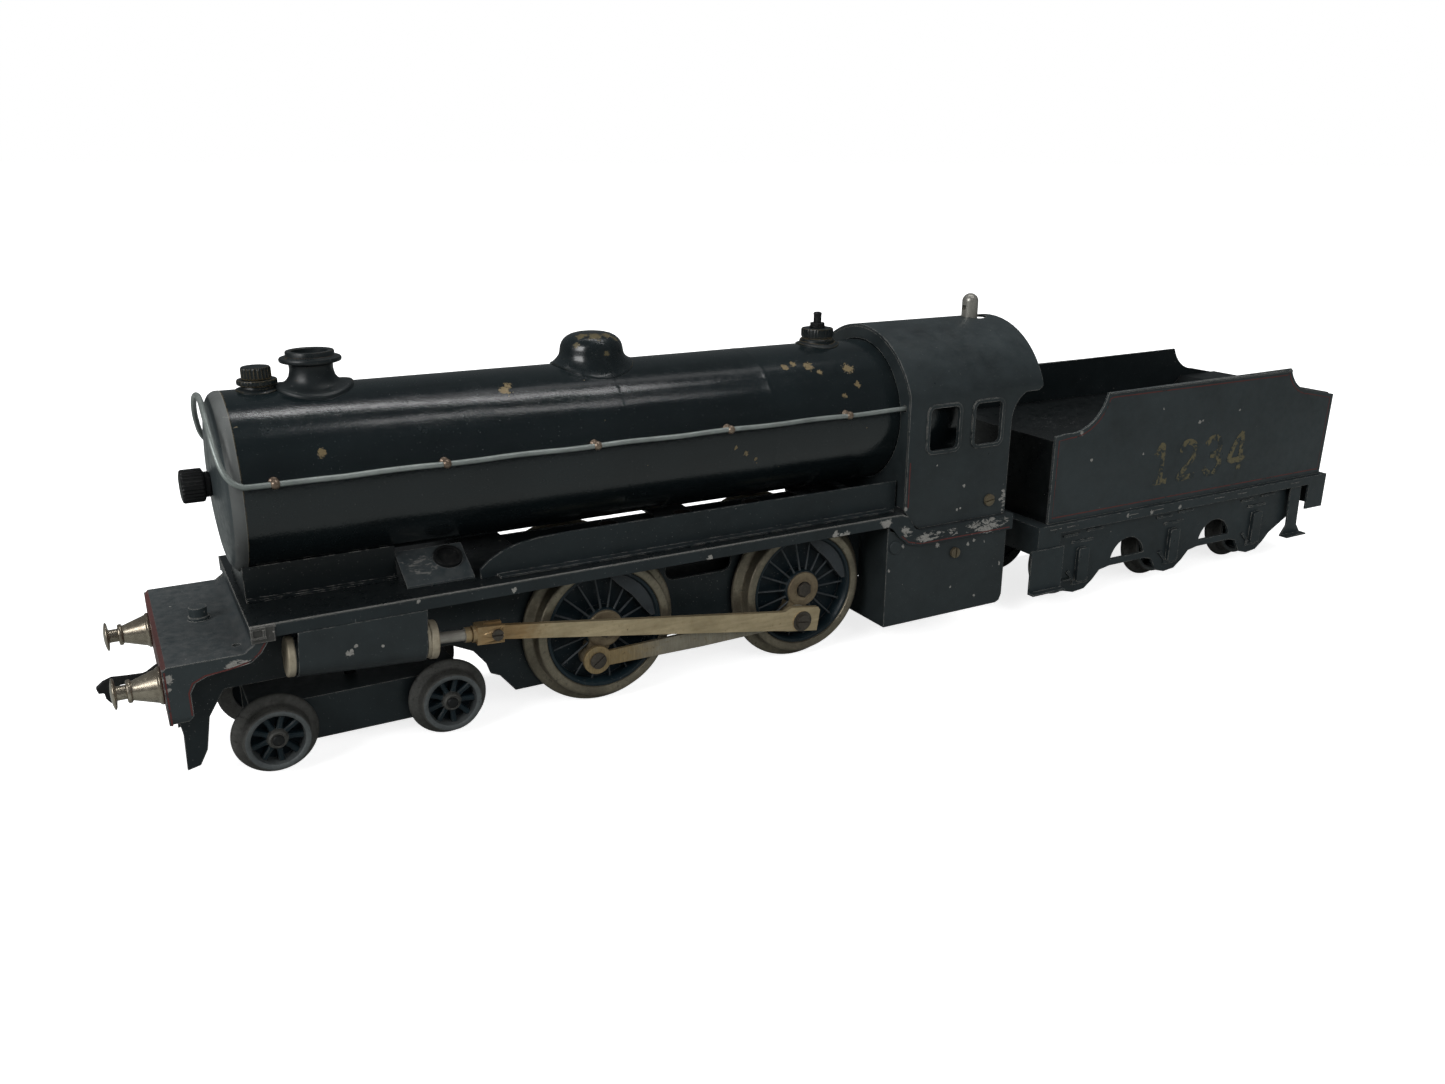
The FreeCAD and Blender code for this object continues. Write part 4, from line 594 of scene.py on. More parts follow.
class Shape:
    """Gathers solids into one mesh, in drawn millimetres."""

    def __init__(self):
        self.points, self.faces, self.marks, self.keys = [], [], [], []

    def mark(self, key):
        if key not in self.keys:
            self.keys.append(key)
        return self.keys.index(key)

    def add(self, points, faces, key, turn=None):
        start, mark = len(self.points), self.mark(key)
        self.points += [turn @ Vector(p) if turn else Vector(p) for p in points]
        self.faces += [tuple(start + i for i in f) for f in faces]
        self.marks += [mark] * len(faces)

    def lathe(self, profile, base, axis, key, steps=64, turn=None, change=None):
        """Turned solid from (radius, height) points. change(r, h, angle) may alter the radius."""
        axis = Vector(axis).normalized()
        side = Vector((0, 0, 1)) if abs(axis.z) < 0.5 else Vector((1, 0, 0))
        side = (side - axis * side.dot(axis)).normalized()
        other = axis.cross(side)
        points, rings = [], []
        for r, h in profile:
            if r < 1e-6:
                rings.append([len(points)])
                points.append(Vector(base) + axis * h)
                continue
            ring = []
            for i in range(steps):
                a = 2 * pi * i / steps
                k = change(r, h, a) if change else r
                ring.append(len(points))
                points.append(Vector(base) + axis * h + (side * cos(a) + other * sin(a)) * k)
            rings.append(ring)
        self.add(points, stitched(rings, steps), key, turn)

    def prism(self, outline, y0, y1, key):
        """Flat plate with an outline in the XZ plane."""
        n = len(outline)
        points = [(x, y0, z) for x, z in outline] + [(x, y1, z) for x, z in outline]
        faces = [tuple(range(n)), tuple(range(2 * n - 1, n - 1, -1))]
        faces += [(i, n + i, n + (i + 1) % n, (i + 1) % n) for i in range(n)]
        self.add(points, faces, key)

    def block(self, x0, x1, y0, y1, z0, z1, key):
        self.prism([(x0, z0), (x1, z0), (x1, z1), (x0, z1)], y0, y1, key)

    def tube(self, path, radii, key, steps):
        """Round bar along a path of points, with one radius or one for each point."""
        path = [Vector(p) for p in path]
        points, rings, side = [], [], None
        for i, p in enumerate(path):
            ahead = (path[min(i + 1, len(path) - 1)] - path[max(i - 1, 0)]).normalized()
            if side is None:
                side = ahead.orthogonal().normalized()
            side = (side - ahead * side.dot(ahead)).normalized()
            other = ahead.cross(side)
            r = radii[i] if isinstance(radii, list) else radii
            rings.append([len(points) + k for k in range(steps)])
            for k in range(steps):
                a = 2 * pi * k / steps
                points.append(p + side * cos(a) * r + other * sin(a) * r)
        faces = [(low[k], low[(k + 1) % steps], high[(k + 1) % steps], high[k])
                 for low, high in zip(rings, rings[1:]) for k in range(steps)]
        faces += [tuple(reversed(rings[0])), tuple(rings[-1])]
        self.add(points, faces, key)

    def ribbon(self, path, width, y, depth, key, closed=False):
        """Painted line on a side face: a thin strip along a path in the XZ plane."""
        path = [Vector(p) for p in path]
        n = len(path)
        points, faces = [], []
        for i, p in enumerate(path):
            a = path[(i - 1) % n] if closed or i else p
            b = path[(i + 1) % n] if closed or i < n - 1 else p
            along = (b - a).normalized()
            off = Vector((-along.y, along.x)) * width / 2
            for q in (p + off, p - off):
                points.append((q.x, y, q.y))
                points.append((q.x, y + depth, q.y))
        last = n if closed else n - 1
        for i in range(last):
            a, b = 4 * i, 4 * ((i + 1) % n)
            faces += [(a + 1, a + 3, b + 3, b + 1), (a, b, b + 2, a + 2), (a, a + 1, b + 1, b),
                      (a + 2, b + 2, b + 3, a + 3)]
        if not closed:
            e = 4 * (n - 1)
            faces += [(0, 2, 3, 1), (e, e + 1, e + 3, e + 2)]
        self.add(points, faces, key)

    def make(self, name, body=None, nodes=(), degrees=38.0, bevel=0.0):
        mesh = bpy.data.meshes.new(name)
        mesh.from_pydata([at(*p) for p in self.points], [], self.faces)
        for key in self.keys:
            mesh.materials.append(M[key])
        for polygon, mark in zip(mesh.polygons, self.marks):
            polygon.material_index = mark
        shape = bmesh.new()
        shape.from_mesh(mesh)
        bmesh.ops.recalc_face_normals(shape, faces=shape.faces)
        shape.to_mesh(mesh)
        shape.free()
        smooth(mesh, degrees)
        obj = bpy.data.objects.new(name, mesh)
        dress(obj, list(nodes), body)
        return bevelled(obj, bevel) if bevel else obj


def smooth_path(points, count=8):
    """Catmull-Rom curve through 3-D points."""
    pts = [Vector(p) for p in points]
    pts = [pts[0] * 2 - pts[1]] + pts + [pts[-1] * 2 - pts[-2]]
    out = []
    for a, b, c, d in zip(pts, pts[1:], pts[2:], pts[3:]):
        for i in range(count):
            t = i / count
            out.append(0.5 * (b * 2 + (c - a) * t + (a * 2 - b * 5 + c * 4 - d) * t * t
                              + (b * 3 - a - c * 3 + d) * t ** 3))
    return out + [pts[-2]]


def knurl(count, depth, low, high):
    """Ridges round the part of a lathe between two heights."""
    def change(r, h, a):
        return r - depth * (0.5 - 0.5 * cos(count * a)) ** 0.6 if low <= h <= high else r
    return change


def tilt_matrix():
    pivot = Vector((REAR_DRIVER_X, 0, AXLE_Z))
    return Matrix.Translation(pivot) @ Matrix.Rotation(CYL_TILT, 4, "Y") @ Matrix.Translation(-pivot)


# ---------------------------------------------------------------- boiler and fittings

def barrel():
    """Soldered barrel, slightly uneven, with two pairs of raised bands."""
    shape = Shape()
    profile, x, radius = [], BARREL_X, BOILER_R - 0.12
    bands = (-80.6, -77.8, -34.6, -31.8)
    while x < BOILER_REAR_X:
        lift = max(0.0, *(0.05 - max(0.0, abs(x - b) - 0.45) * 0.2 for b in bands))
        profile.append((radius + lift, x - BARREL_X))
        x += 0.35 if any(abs(x - b) < 1.2 for b in bands) else 2.4
    length = BOILER_REAR_X - BARREL_X
    profile += [(radius, length), (BOILER_R - 0.8, length)]

    def wavy(r, h, a):
        place = Vector((h * 0.02, cos(a) * 1.6, sin(a) * 1.6))
        return r + 0.1 * noise.noise(place) + 0.035 * noise.noise(place * 4.0)

    shape.lathe([(BOILER_R - 0.8, 0.0)] + profile, (BARREL_X, 0, BOILER_Z), (1, 0, 0), "boiler", 144,
                change=wavy)
    shape.make("boiler_shell", nodes=["boiler_barrel"])


def smokebox():
    shape = Shape()
    plate = [(1.9, 2.95), (6, 2.95), (12, 2.65), (17, 2.1), (19.6, 1.55), (20.7, 0.95)]
    edge = [(20.7, 0.95), (21.2, 0.6), (21.6, 0.1), (21.9, -0.5), (22.0, -1.0), (22.0, -1.75), (21.2, -1.75)]
    shape.lathe(rounded(plate, 0.9), (FRONT_X, 0, BOILER_Z), (-1, 0, 0), "plate", 144)
    # light rim ring: worn edges and a painted highlight on the rounded edge
    shape.lathe(edge, (FRONT_X, 0, BOILER_Z), (-1, 0, 0), "rim", 144)
    shape.make("smokebox_front_plate", nodes=["smokebox_front"])
    grip = Shape()
    profile = [(0, 3.0), (2.9, 3.0), (3.1, 3.4), (3.1, 4.3), (3.9, 4.6), (4.1, 4.9), (4.1, 9.2), (3.8, 9.6),
               (2.6, 9.85), (2.4, 9.6), (0, 9.6)]
    grip.lathe(rounded(profile, 0.2), (FRONT_X, 0, BOILER_Z), (-1, 0, 0), "dark", 168,
               change=knurl(28, 0.22, 4.7, 9.45))
    grip.lathe([(1.8, -4.0), (1.8, 3.2)], (FRONT_X, 0, BOILER_Z), (-1, 0, 0), "dark", 24)
    grip.make("front_knob_looks", nodes=["front_knob"], degrees=30)


def seated(shape, foot, neck, top, x, key, steps=96, change=None):
    """Turned fitting whose foot follows the boiler.

    foot holds (radius, height over the boiler) and top (radius,
                                                         height above the rail). neck lies between and holds
    both heights and the share of the first.
    """
    profile = [(r, over, 0, 1.0) for r, over in foot] + neck + [(r, 0, z, 0.0) for r, z in top]
    rings, points = [], []
    for r, over, z, share in profile:
        ring = []
        for i in range(steps if r > 1e-6 else 1):
            a = 2 * pi * i / steps
            k = change(r, z, a) if change else r
            y = k * sin(a)
            seat = BOILER_Z + sqrt(BOILER_R ** 2 - y * y) + over
            ring.append(len(points))
            points.append((x + k * cos(a), y, seat * share + z * (1 - share)))
        rings.append(ring)
    shape.add(points, stitched(rings, steps), key)


def boiler_top():
    shape = Shape()
    foot = [(9.6, -0.35), (9.6, 0.4), (9.4, 0.65), (8.6, 0.8), (7.1, 0.85), (6.5, 1.05)]
    neck = [(5.9, 1.5, 95.8, 0.6), (5.5, 1.9, 96.3, 0.2)]
    top = [(5.25, 97.2), (5.15, 98.0), (5.2, 99.0), (5.6, 99.45), (6.8, 99.6), (7.2, 99.75), (7.35, 100.05),
           (7.35, 100.45), (7.15, 100.75), (6.2, 100.9), (5.8, 101.1), (5.75, 102.1), (5.6, 102.3),
           (4.6, 102.3), (4.35, 102.1), (4.3, 101), (4.3, 92.5), (0, 92.5)]
    seated(shape, foot, neck, top, CHIMNEY_X, "chimney")
    shape.make("chimney_looks", nodes=["chimney"])

    shape = Shape()
    foot = [(11.4, -0.35), (11.4, 0.15), (11.2, 0.35), (10.7, 0.5)]
    neck = [(10.1, 0.9, 94.9, 0.8), (9.5, 1.6, 95.2, 0.5), (9.0, 2.2, 95.9, 0.2)]
    top = [(8.75, 96.8), (8.65, 97.6), (8.5, 98.4), (8.15, 99.3), (7.6, 100.1), (6.8, 100.8), (5.7, 101.4),
           (4.3, 101.8), (2.6, 102.05), (0, 102.15)]
    seated(shape, foot, neck, top, DOME_X, "dome")
    shape.make("dome_looks", nodes=["dome"])

    shape = Shape()
    foot = [(5.0, -0.3), (5.0, 0.15), (4.7, 0.35), (3.9, 0.6)]
    top = [(3.7, 95.0), (4.5, 95.15), (4.7, 95.4), (4.7, 96.1), (4.5, 96.35), (1.7, 96.35)]
    seated(shape, foot, [], top, FILLER_X, "fitting", 140, knurl(32, 0.16, 95.3, 96.2))
    foot = [(6.6, -0.3), (6.6, 0.15), (6.2, 0.4), (5.4, 0.6)]
    top = [(5.3, 95.0), (5.0, 95.3), (4.6, 95.4), (4.6, 95.75), (4.8, 95.9), (4.9, 96.2), (4.9, 98.0),
           (4.65, 98.35), (2.4, 98.5), (1.6, 98.5)]
    seated(shape, foot, [], top, SAFETY_X, "fitting", 168, knurl(36, 0.16, 96.0, 98.1))
    shape.make("boiler_fittings_looks", nodes=["boiler_fittings"], degrees=30)

    shape = Shape()
    cap = [(0, 96.45), (3.3, 96.45), (3.5, 96.7), (3.5, 98.9), (3.2, 99.35), (1.2, 99.55), (1.0, 99.4),
           (0, 99.4)]
    shape.lathe(rounded(cap, 0.12), (FILLER_X, 0, 0), (0, 0, 1), "fitting", 144,
                change=knurl(24, 0.2, 96.6, 99.1))
    shape.make("filler_cap_looks", nodes=["filler_cap"], degrees=30)

    shape = Shape()
    z = SAFETY_TOP_Z
    shape.lathe(rounded([(0, z - 8.4), (1.9, z - 8.4), (1.9, z - 7.3), (1.35, z - 7.1), (1.35, z - 0.05),
                         (2.5, z - 0.05), (2.5, z + 0.25), (1.9, z + 0.35)], 0.1), (SAFETY_X, 0, 0),
                (0, 0, 1), "dark", 32)
    nut = [(2.3, z + 0.3), (2.45, z + 0.45), (2.45, z + 1.1), (2.2, z + 1.25), (1.25, z + 1.3)]
    shape.lathe(nut, (SAFETY_X, 0, 0), (0, 0, 1), "dark", 6)
    spindle = [(1.2, z + 1.2), (1.2, z + 3.6), (1.3, z + 3.75), (1.25, z + 4.2), (0.8, z + 4.45),
               (0, z + 4.5)]
    shape.lathe(rounded(spindle, 0.12), (SAFETY_X, 0, 0), (0, 0, 1), "dark", 24)
    shape.make("safety_valve_stem_looks", nodes=["safety_valve_stem"], degrees=30)


FIRST_KNOB_X, KNOB_PITCH, KNOB_R = -170.0, 39.7, 1.2


def rail():
    """Handrail wire round the boiler's front and the knobs that hold it."""
    straight = [(14.0 - i * 8.0, -RAIL_Y, RAIL_Z + 0.12 * sin(i * 1.7)) for i in range(24)]
    bend = [(-174.8, -RAIL_Y, RAIL_Z), (-177.2, -23.75, 76.4), (-179.2, -23.2, 77.7), (-180.6, -22.0, 80.2),
            (-181.4, -19.6, 84.3), (-181.7, -16.4, 87.7), (-181.8, -11.5, 90.7), (-181.7, -6.0, 92.6)]
    half = straight[:-1] + bend
    other = [(x, -y, z) for x, y, z in reversed(half)]
    shape = Shape()
    shape.tube(smooth_path(half + [(-181.6, 0, 93.2)] + other, 5), 0.68, "wire", 14)
    shape.make("handrail_wire", nodes=["handrail"])
    shape = Shape()
    foot = sqrt(BOILER_R ** 2 - (RAIL_Z - BOILER_Z) ** 2)
    ball = [(KNOB_R * cos(radians(a)), RAIL_Y + KNOB_R * sin(radians(a)))
            for a in range(-62, 90, 8)]
    profile = [(1.15, foot - 0.3), (1.15, foot + 0.1), (1.0, foot + 0.25), (0.7, foot + 0.4),
               (0.6, foot + 0.7)] + ball
    for i in range(5):
        for side in SIDES:
            base = (FIRST_KNOB_X + KNOB_PITCH * i, 0, RAIL_Z)
            shape.lathe(profile + [(0, RAIL_Y + KNOB_R)], base, (0, side, 0), "knob", 28)
    shape.make("handrail_knobs_looks", nodes=["handrail_knobs"], degrees=50)


# ---------------------------------------------------------------- screws

SCREW_SLOT = 0.42


def screw(shape, x, y, z, radius, side, key, slot_deg, height=0.9):
    """Slotted screw head on a side face."""
    half = asin(SCREW_SLOT / 2 / radius)
    shape.lathe(rounded([(radius, 0.0), (radius, height * 0.45), (0, height * 0.45)], 0.08), (x, side * y, z),
                (0, side, 0), key, 40)
    for way in (0.0, pi):
        outlines = []
        for gap, r in ((half, radius), (half * 1.12, radius * 0.88)):
            turns = [gap + (pi - 2 * gap) * i / 18 + way + radians(slot_deg) for i in range(19)]
            outlines.append([(x + r * cos(a), z + r * sin(a)) for a in turns])
        outline, inner = outlines
        y0, y1, y2 = (side * (y + height * k) for k in (0.4, 0.82, 1.0))
        n = len(outline)
        points = [(px, y0, pz) for px, pz in outline] + [(px, y1, pz) for px, pz in outline]
        points += [(px, y2, pz) for px, pz in inner]
        faces = [tuple(range(n)), tuple(range(2 * n, 3 * n))]
        for low in (0, n):
            faces += [(low + i, low + (i + 1) % n, low + n + (i + 1) % n, low + n + i) for i in range(n)]
        shape.add(points, faces, key)


# top, bottom, front and rear bar, each from x to x and from z to z
LUG_BARS = ((-180.0, -176.6, 43.7, 44.4), (-180.0, -176.6, 41.4, 42.0), (-180.0, -179.4, 42.0, 43.7),
            (-177.3, -176.6, 42.0, 43.7))


def lugs():
    """Small open bracket on the front corner of each valance."""
    shape = Shape()
    for side in SIDES:
        y0, y1 = side * 29.0, side * 29.5
        for x0, x1, z0, z1 in LUG_BARS:
            shape.block(x0, x1, y0, y1, z0, z1, "lug")
    shape.make("valance_lugs", "locomotive", bevel=0.12)


def screws():
    shape = Shape()
    for side in SIDES:
        screw(shape, 41.8, CAB_Y, 44.1, 1.95, side, "screw", 8.0)
        screw(shape, 28.5, CASING_Y, 28.8, 1.7, side, "screw", 86.0, 1.1)
        shape.lathe(rounded([(2.2, -0.1), (2.2, 0.35), (1.9, 0.6), (0, 0.65)], 0.15),
                    (4.9, side * CASING_Y, 34.1), (0, side, 0), "casing", 40)
    shape.make("body_screws_looks", nodes=["body_screws"])


# ---------------------------------------------------------------- wheels

# place of the dark web disc behind the spokes, partly painted shade
WEB_Y = (14.8, 15.4)
SPOKES = 18
# distance from the axle and from the middle plane, and the spoke's own radius there
SPOKE = ((4.0, 18.3, 0.42), (8.0, 17.9, 0.33), (12.0, 17.4, 0.28), (15.9, 16.9, 0.3))
TYRE_BORE = 17.1
TYRE_LIP = [(17.5, 19.9), (17.25, 19.75), (TYRE_BORE, 19.4), (TYRE_BORE, 14.0)]
# share of the way from axle to crank pin, and distance from the line between them
HUB_CORNERS = ((0.25, -3.6), (1.0, -2.6), (1.0, 2.6), (0.25, 3.6))
WHEEL_SLOT = {FRONT_DRIVER_X: {-1: 38.0, 1: -35.0}, REAR_DRIVER_X: {-1: 4.0, 1: 20.0}}


def ring_profile(inner, tread, flange):
    """Tyre section from the back of the flange round the tread to the face."""
    return [(inner, 14.0), (flange - 1.1, 14.0), (flange - 0.5, 14.1), (flange - 0.1, 14.45), (flange, 14.8),
            (flange - 0.1, 15.15), (flange - 0.45, 15.5), (flange - 1.1, 15.8), (tread + 0.5, 15.95),
            (tread + 0.15, 16.2), (tread + 0.02, 16.6), (tread - 0.12, 19.2), (tread - 0.2, 19.6),
            (tread - 0.5, 19.88), (tread - 0.9, 19.9)]


def driver(x, name, eccentric=False):
    """Pair of driving wheels with their tyres, crank pins and axle."""
    z = AXLE_Z
    shape, tyres = Shape(), Shape()
    for side in SIDES:
        out = (0, side, 0)
        crank = radians(CRANK_DEG[side])
        cx, cz = x + CRANK_R * cos(crank), z + CRANK_R * sin(crank)
        dx, dz = -sin(crank), cos(crank)
        profile = ring_profile(TYRE_BORE, DRIVER_TREAD, DRIVER_FLANGE) + TYRE_LIP
        tyres.lathe(profile, (x, 0, z), out, "tyre", 128)
        rim = [(17.12, 14.6), (17.12, 19.2), (16.9, 19.35), (16.2, 19.3), (15.9, 18.9), (15.6, 18.3),
               (15.5, 17.6), (15.5, 15.0), (15.8, 14.6), (17.12, 14.6)]
        shape.lathe(rim, (x, 0, z), out, "wheel", 112)
        # dark web behind the spokes, partly painted shade
        shape.lathe([(2.5, WEB_Y[0]), (15.8, WEB_Y[0]), (15.8, WEB_Y[1]), (2.5, WEB_Y[1])], (x, 0, z), out,
                    "web", 72)
        for i in range(SPOKES):
            a = crank + 2 * pi * (i + 0.5) / SPOKES
            d = Vector((cos(a), 0, sin(a)))
            path = [Vector((x, side * yy, z)) + d * r for r, yy, _ in SPOKE]
            shape.tube(path, [thick for _, _, thick in SPOKE], "spoke", 10)
        hub = [(3.0, 14.2), (5.8, 14.3), (6.0, 15.0), (6.0, 18.4), (5.7, 18.8), (5.0, 18.9), (2.5, 18.9)]
        shape.lathe(rounded(hub, 0.25), (x, 0, z), out, "wheel", 56)
        disc = [(5.25, 18.6), (5.4, 18.8), (5.4, 19.25), (5.15, 19.5), (4.6, 19.55), (3.3, 19.55),
                (3.1, 19.45), (2.3, 19.45)]
        shape.lathe(rounded(disc, 0.12), (x, 0, z), out, "hub", 64)
        end = [(2.5, 19.0), (2.5, 20.1), (2.2, 20.35), (1.5, 20.35), (1.3, 20.2), (0, 20.2)]
        shape.lathe(rounded(end, 0.1), (x, 0, z), out, "pin", 6)
        neck = [(x + (cx - x) * t - dx * w, z + (cz - z) * t - dz * w) for t, w in HUB_CORNERS]
        shape.prism(neck, side * 15.4, side * 19.1, "hub")
        boss = [(0.0, 15.2), (3.3, 15.2), (3.4, 15.6), (3.4, 19.7), (3.15, 20.05), (1.5, 20.1)]
        shape.lathe(rounded(boss, 0.2), (cx, 0, cz), out, "hub", 40)
        shape.lathe([(1.4, 15.0), (1.4, 21.75)], (cx, 0, cz), out, "steel", 24)
        screw(shape, cx, 21.72, cz, 2.35, side, "pin", WHEEL_SLOT[x][side], 0.58)
        web = []
        for i in range(17):
            a = crank + radians(117 + 76 * i / 16)
            web.append((x + 15.7 * cos(a), z + 15.7 * sin(a)))
        for i in range(17):
            a = crank + radians(193 - 76 * i / 16)
            r = 12.0 + 2.6 * (abs(i - 8) / 8) ** 3
            web.append((x + r * cos(a), z + r * sin(a)))
        shape.prism(web, side * 15.8, side * 18.5, "weight")
    shape.tube([(x, -19.6, z), (x, 19.6, z)], 2.45, "dark", 32)
    if eccentric:
        for side in SIDES:
            a = radians(CRANK_DEG[side] + 90)
            ex, ez = x + 2.0 * cos(a), z + 2.0 * sin(a)
            shape.lathe([(2.3, 6.0), (5.2, 6.0), (5.2, 8.1), (6.0, 8.12), (6.2, 8.3), (6.2, 8.7), (6.0, 8.9),
                         (2.3, 8.9)],
                        (ex, 0, ez), (0, side, 0), "steel", 56)
            shape.lathe(rounded([(2.3, 8.8), (4.0, 8.8), (4.0, 10.6), (2.3, 10.6)], 0.2), (x, 0, z),
                        (0, side, 0), "steel", 40)
    shape.make(name + "_wheels_looks", nodes=[name + "_wheels"])
    tyres.make(name + "_tyres_looks", nodes=[name + "_tyres"], degrees=45)


def small_wheels(x, tread, flange, hub, count, axle_end, node, phase):
    """Spoked wheels on one axle. count is the number of spokes and phase turns them."""
    z = flange
    shape = Shape()
    inner = tread - 1.75
    for side in SIDES:
        out = (0, side, 0)
        profile = ring_profile(inner, tread, flange)
        shape.lathe(profile[:-1], (x, 0, z), out, "iron", 96)
        face = [(tread - 0.45, 19.86), (tread - 0.8, 19.92), (inner + 0.35, 19.85), (inner + 0.05, 19.6),
                (inner, 19.2), (inner - 0.1, 17.4), (inner - 0.1, 15.2), (inner, 14.0)]
        shape.lathe(face, (x, 0, z), out, "iron_rim", 96)
        # dark web behind the spokes, partly painted shade
        web = [(1.45, WEB_Y[0]), (inner + 0.2, WEB_Y[0]), (inner + 0.2, WEB_Y[1]), (1.45, WEB_Y[1])]
        shape.lathe(web, (x, 0, z), out, "web", 72)
        for i in range(count):
            a = 2 * pi * i / count + phase + side * 0.2
            d, t = Vector((cos(a), 0, sin(a))), Vector((-sin(a), 0, cos(a)))
            points = []
            for r, w, lo, hi in ((hub - 0.7, 0.85, 15.6, 18.5), (inner * 0.6, 0.62, 15.7, 18.2),
                                 (inner + 0.2, 0.8, 15.5, 18.4)):
                base = Vector((x, 0, z)) + d * r
                for dw, yy in ((-w, lo), (-w, hi - 0.3), (-w * 0.55, hi), (w * 0.55, hi), (w, hi - 0.3),
                               (w, lo)):
                    points.append(base + t * dw + Vector((0, side * yy, 0)))
            faces = [(m + k, m + (k + 1) % 6, m + 6 + (k + 1) % 6, m + 6 + k)
                     for m in (0, 6) for k in range(6)]
            faces += [tuple(range(6)), tuple(range(12, 18))]
            shape.add(points, faces, "wheel")
        centre = [(1.45, 14.2), (hub, 14.2), (hub, 18.8), (hub - 0.25, 19.4), (hub - 0.6, 19.7), (1.9, 19.75),
                  (1.75, 19.5), (1.45, 19.5)]
        shape.lathe(rounded(centre, 0.12), (x, 0, z), out, "iron", 44)
    ends = axle_end - 0.25
    shape.lathe(rounded([(0, -axle_end), (1.1, -axle_end), (1.45, -ends), (1.45, ends), (1.1, axle_end),
                         (0, axle_end)],
                        0.08), (x, 0, z), (0, 1, 0), "dark", 32)
    shape.make(node + "_looks", nodes=[node], degrees=40)


# ---------------------------------------------------------------- buffers, cylinders and rods

def buffers():
    stocks = Shape()
    for side in SIDES:
        base = (BEAM_X, side * BUFFER_Y, BUFFER_Z)
        profile = [(1.0, -4.2), (2.5, -4.2), (2.5, 0.0), (4.3, 0.0), (4.5, 0.15), (4.5, 0.6), (4.2, 0.9),
                   (4.0, 1.1), (2.45, 5.75), (2.3, 6.2), (2.3, 6.35), (2.65, 6.5), (2.75, 6.75), (2.75, 7.1),
                   (2.6, 7.4), (2.3, 7.5), (1.76, 7.5), (1.76, 3.0), (1.8, -3.3), (0.9, -3.4)]
        stocks.lathe(rounded(profile, 0.12), base, (-1, 0, 0), "nickel", 56)
        name = "left" if side < 0 else "right"
        plunger = Shape()
        shank = [(0, 2.0), (1.68, 2.0), (1.68, 9.52), (2.1, 9.6), (3.1, 9.72), (3.6, 9.9), (3.7, 10.1),
                 (3.5, 10.35), (2.4, 10.65), (1.2, 10.82), (0, 10.87)]
        plunger.lathe(rounded(shank, 0.1), base, (-1, 0, 0), "nickel", 56)
        plunger.lathe([(0, -4.6), (0.6, -4.6), (0.8, -4.4), (0.8, 2.1)], base, (-1, 0, 0), "dark", 20)
        plunger.make("buffer_plunger_%s_looks" % name, nodes=["buffer_plunger_" + name])
        coil = Shape()
        path = [(BEAM_X - 1.65 + 4.7 * i / 96, side * BUFFER_Y + 1.3 * cos(i * 0.327),
                 BUFFER_Z + 1.3 * sin(i * 0.327)) for i in range(97)]
        coil.tube(path, 0.22, "wire", 8)
        spring = coil.make("buffer_spring_%s_looks" % name, nodes=["buffer_spring_" + name])
        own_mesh(spring)
    stocks.make("buffer_stocks_looks", nodes=["buffer_stocks"])


def cylinder_ends():
    turn = tilt_matrix()
    shape = Shape()
    for side in SIDES:
        y = side * CYL_Y
        front = [(0, 1.9), (4.3, 1.9), (4.85, 1.75), (5.0, 1.5), (5.0, 0.2), (4.8, 0.0), (0, 0.0)]
        shape.lathe(rounded(front, 0.12), (CYL_FRONT_X, y, AXLE_Z), (-1, 0, 0), "cover", 64, turn)
        rear = [(1.6, -0.0), (4.6, 0.0), (4.6, 0.8), (4.85, 0.85), (5.0, 1.1), (5.0, 2.6), (4.8, 2.85),
                (4.5, 2.9), (2.5, 2.9), (2.4, 3.3), (2.2, 3.4), (1.6, 3.4), (1.56, 3.3), (1.56, 0.0)]
        shape.lathe(rounded(rear, 0.1), (CYL_REAR_X, y, AXLE_Z), (1, 0, 0), "cover", 64, turn)
    shape.make("cylinder_covers_looks", nodes=["cylinder_covers"])


# ---------------------------------------------------------------- painted lines and figures

LINE_WIDTH, LINE_DEPTH = 0.36, 0.03


def lining():
    front, body, cabin, tail = Shape(), Shape(), Shape(), Shape()
    w, d = LINE_WIDTH, LINE_DEPTH
    for side in SIDES:
        y = side * PLATFORM_Y
        front.ribbon([(-194.3, 25.6), (-194.3, 31.2), (-193.3, 33.4), (-190.5, 34.7), (-185.2, 35.2),
                      (-180.4, 36.2), (-178.4, 37.9), (-176.9, 40.2)], w, y, side * d, "red")
        front.ribbon([(-198.7, 24.0), (-198.7, 37.2)], w, y, side * d, "red")
        body.ribbon([(6.6, 37.7), (9.4, 35.4), (14.2, 34.2), (30.0, 34.2), (50.2, 34.2)], w, side * VALANCE_Y,
                    side * d, "red")
        cabin.ribbon([(9.6, 45.8), (9.6, 52.0), (9.6, 60.0)], w, side * CAB_Y, side * d, "red")
        cove = arc(76.0, 77.2, 16.7, -92, -18, 12)
        back = arc(196.5, 79.0, 14.7, 203, 266, 10)
        line = [(70.3, 33.7), (70.3, 60.0)] + cove + [(93.4, 72.4), (182.0, 72.4)] + back + [(209.4, 61.6),
                                                                                             (208.8, 33.7)]
        tail.ribbon(line, w, side * CAB_Y, side * d, "red", closed=True)
    front.make("platform_lining", "locomotive")
    body.make("valance_lining", "locomotive")
    cabin.make("cab_lining", "locomotive")
    tail.make("tender_lining", "tender")


FIGURE_PITCH, FIGURE_WIDTH, FIGURE_HEIGHT, FIGURE_Z = 13.2, 9.6, 13.0, 39.8


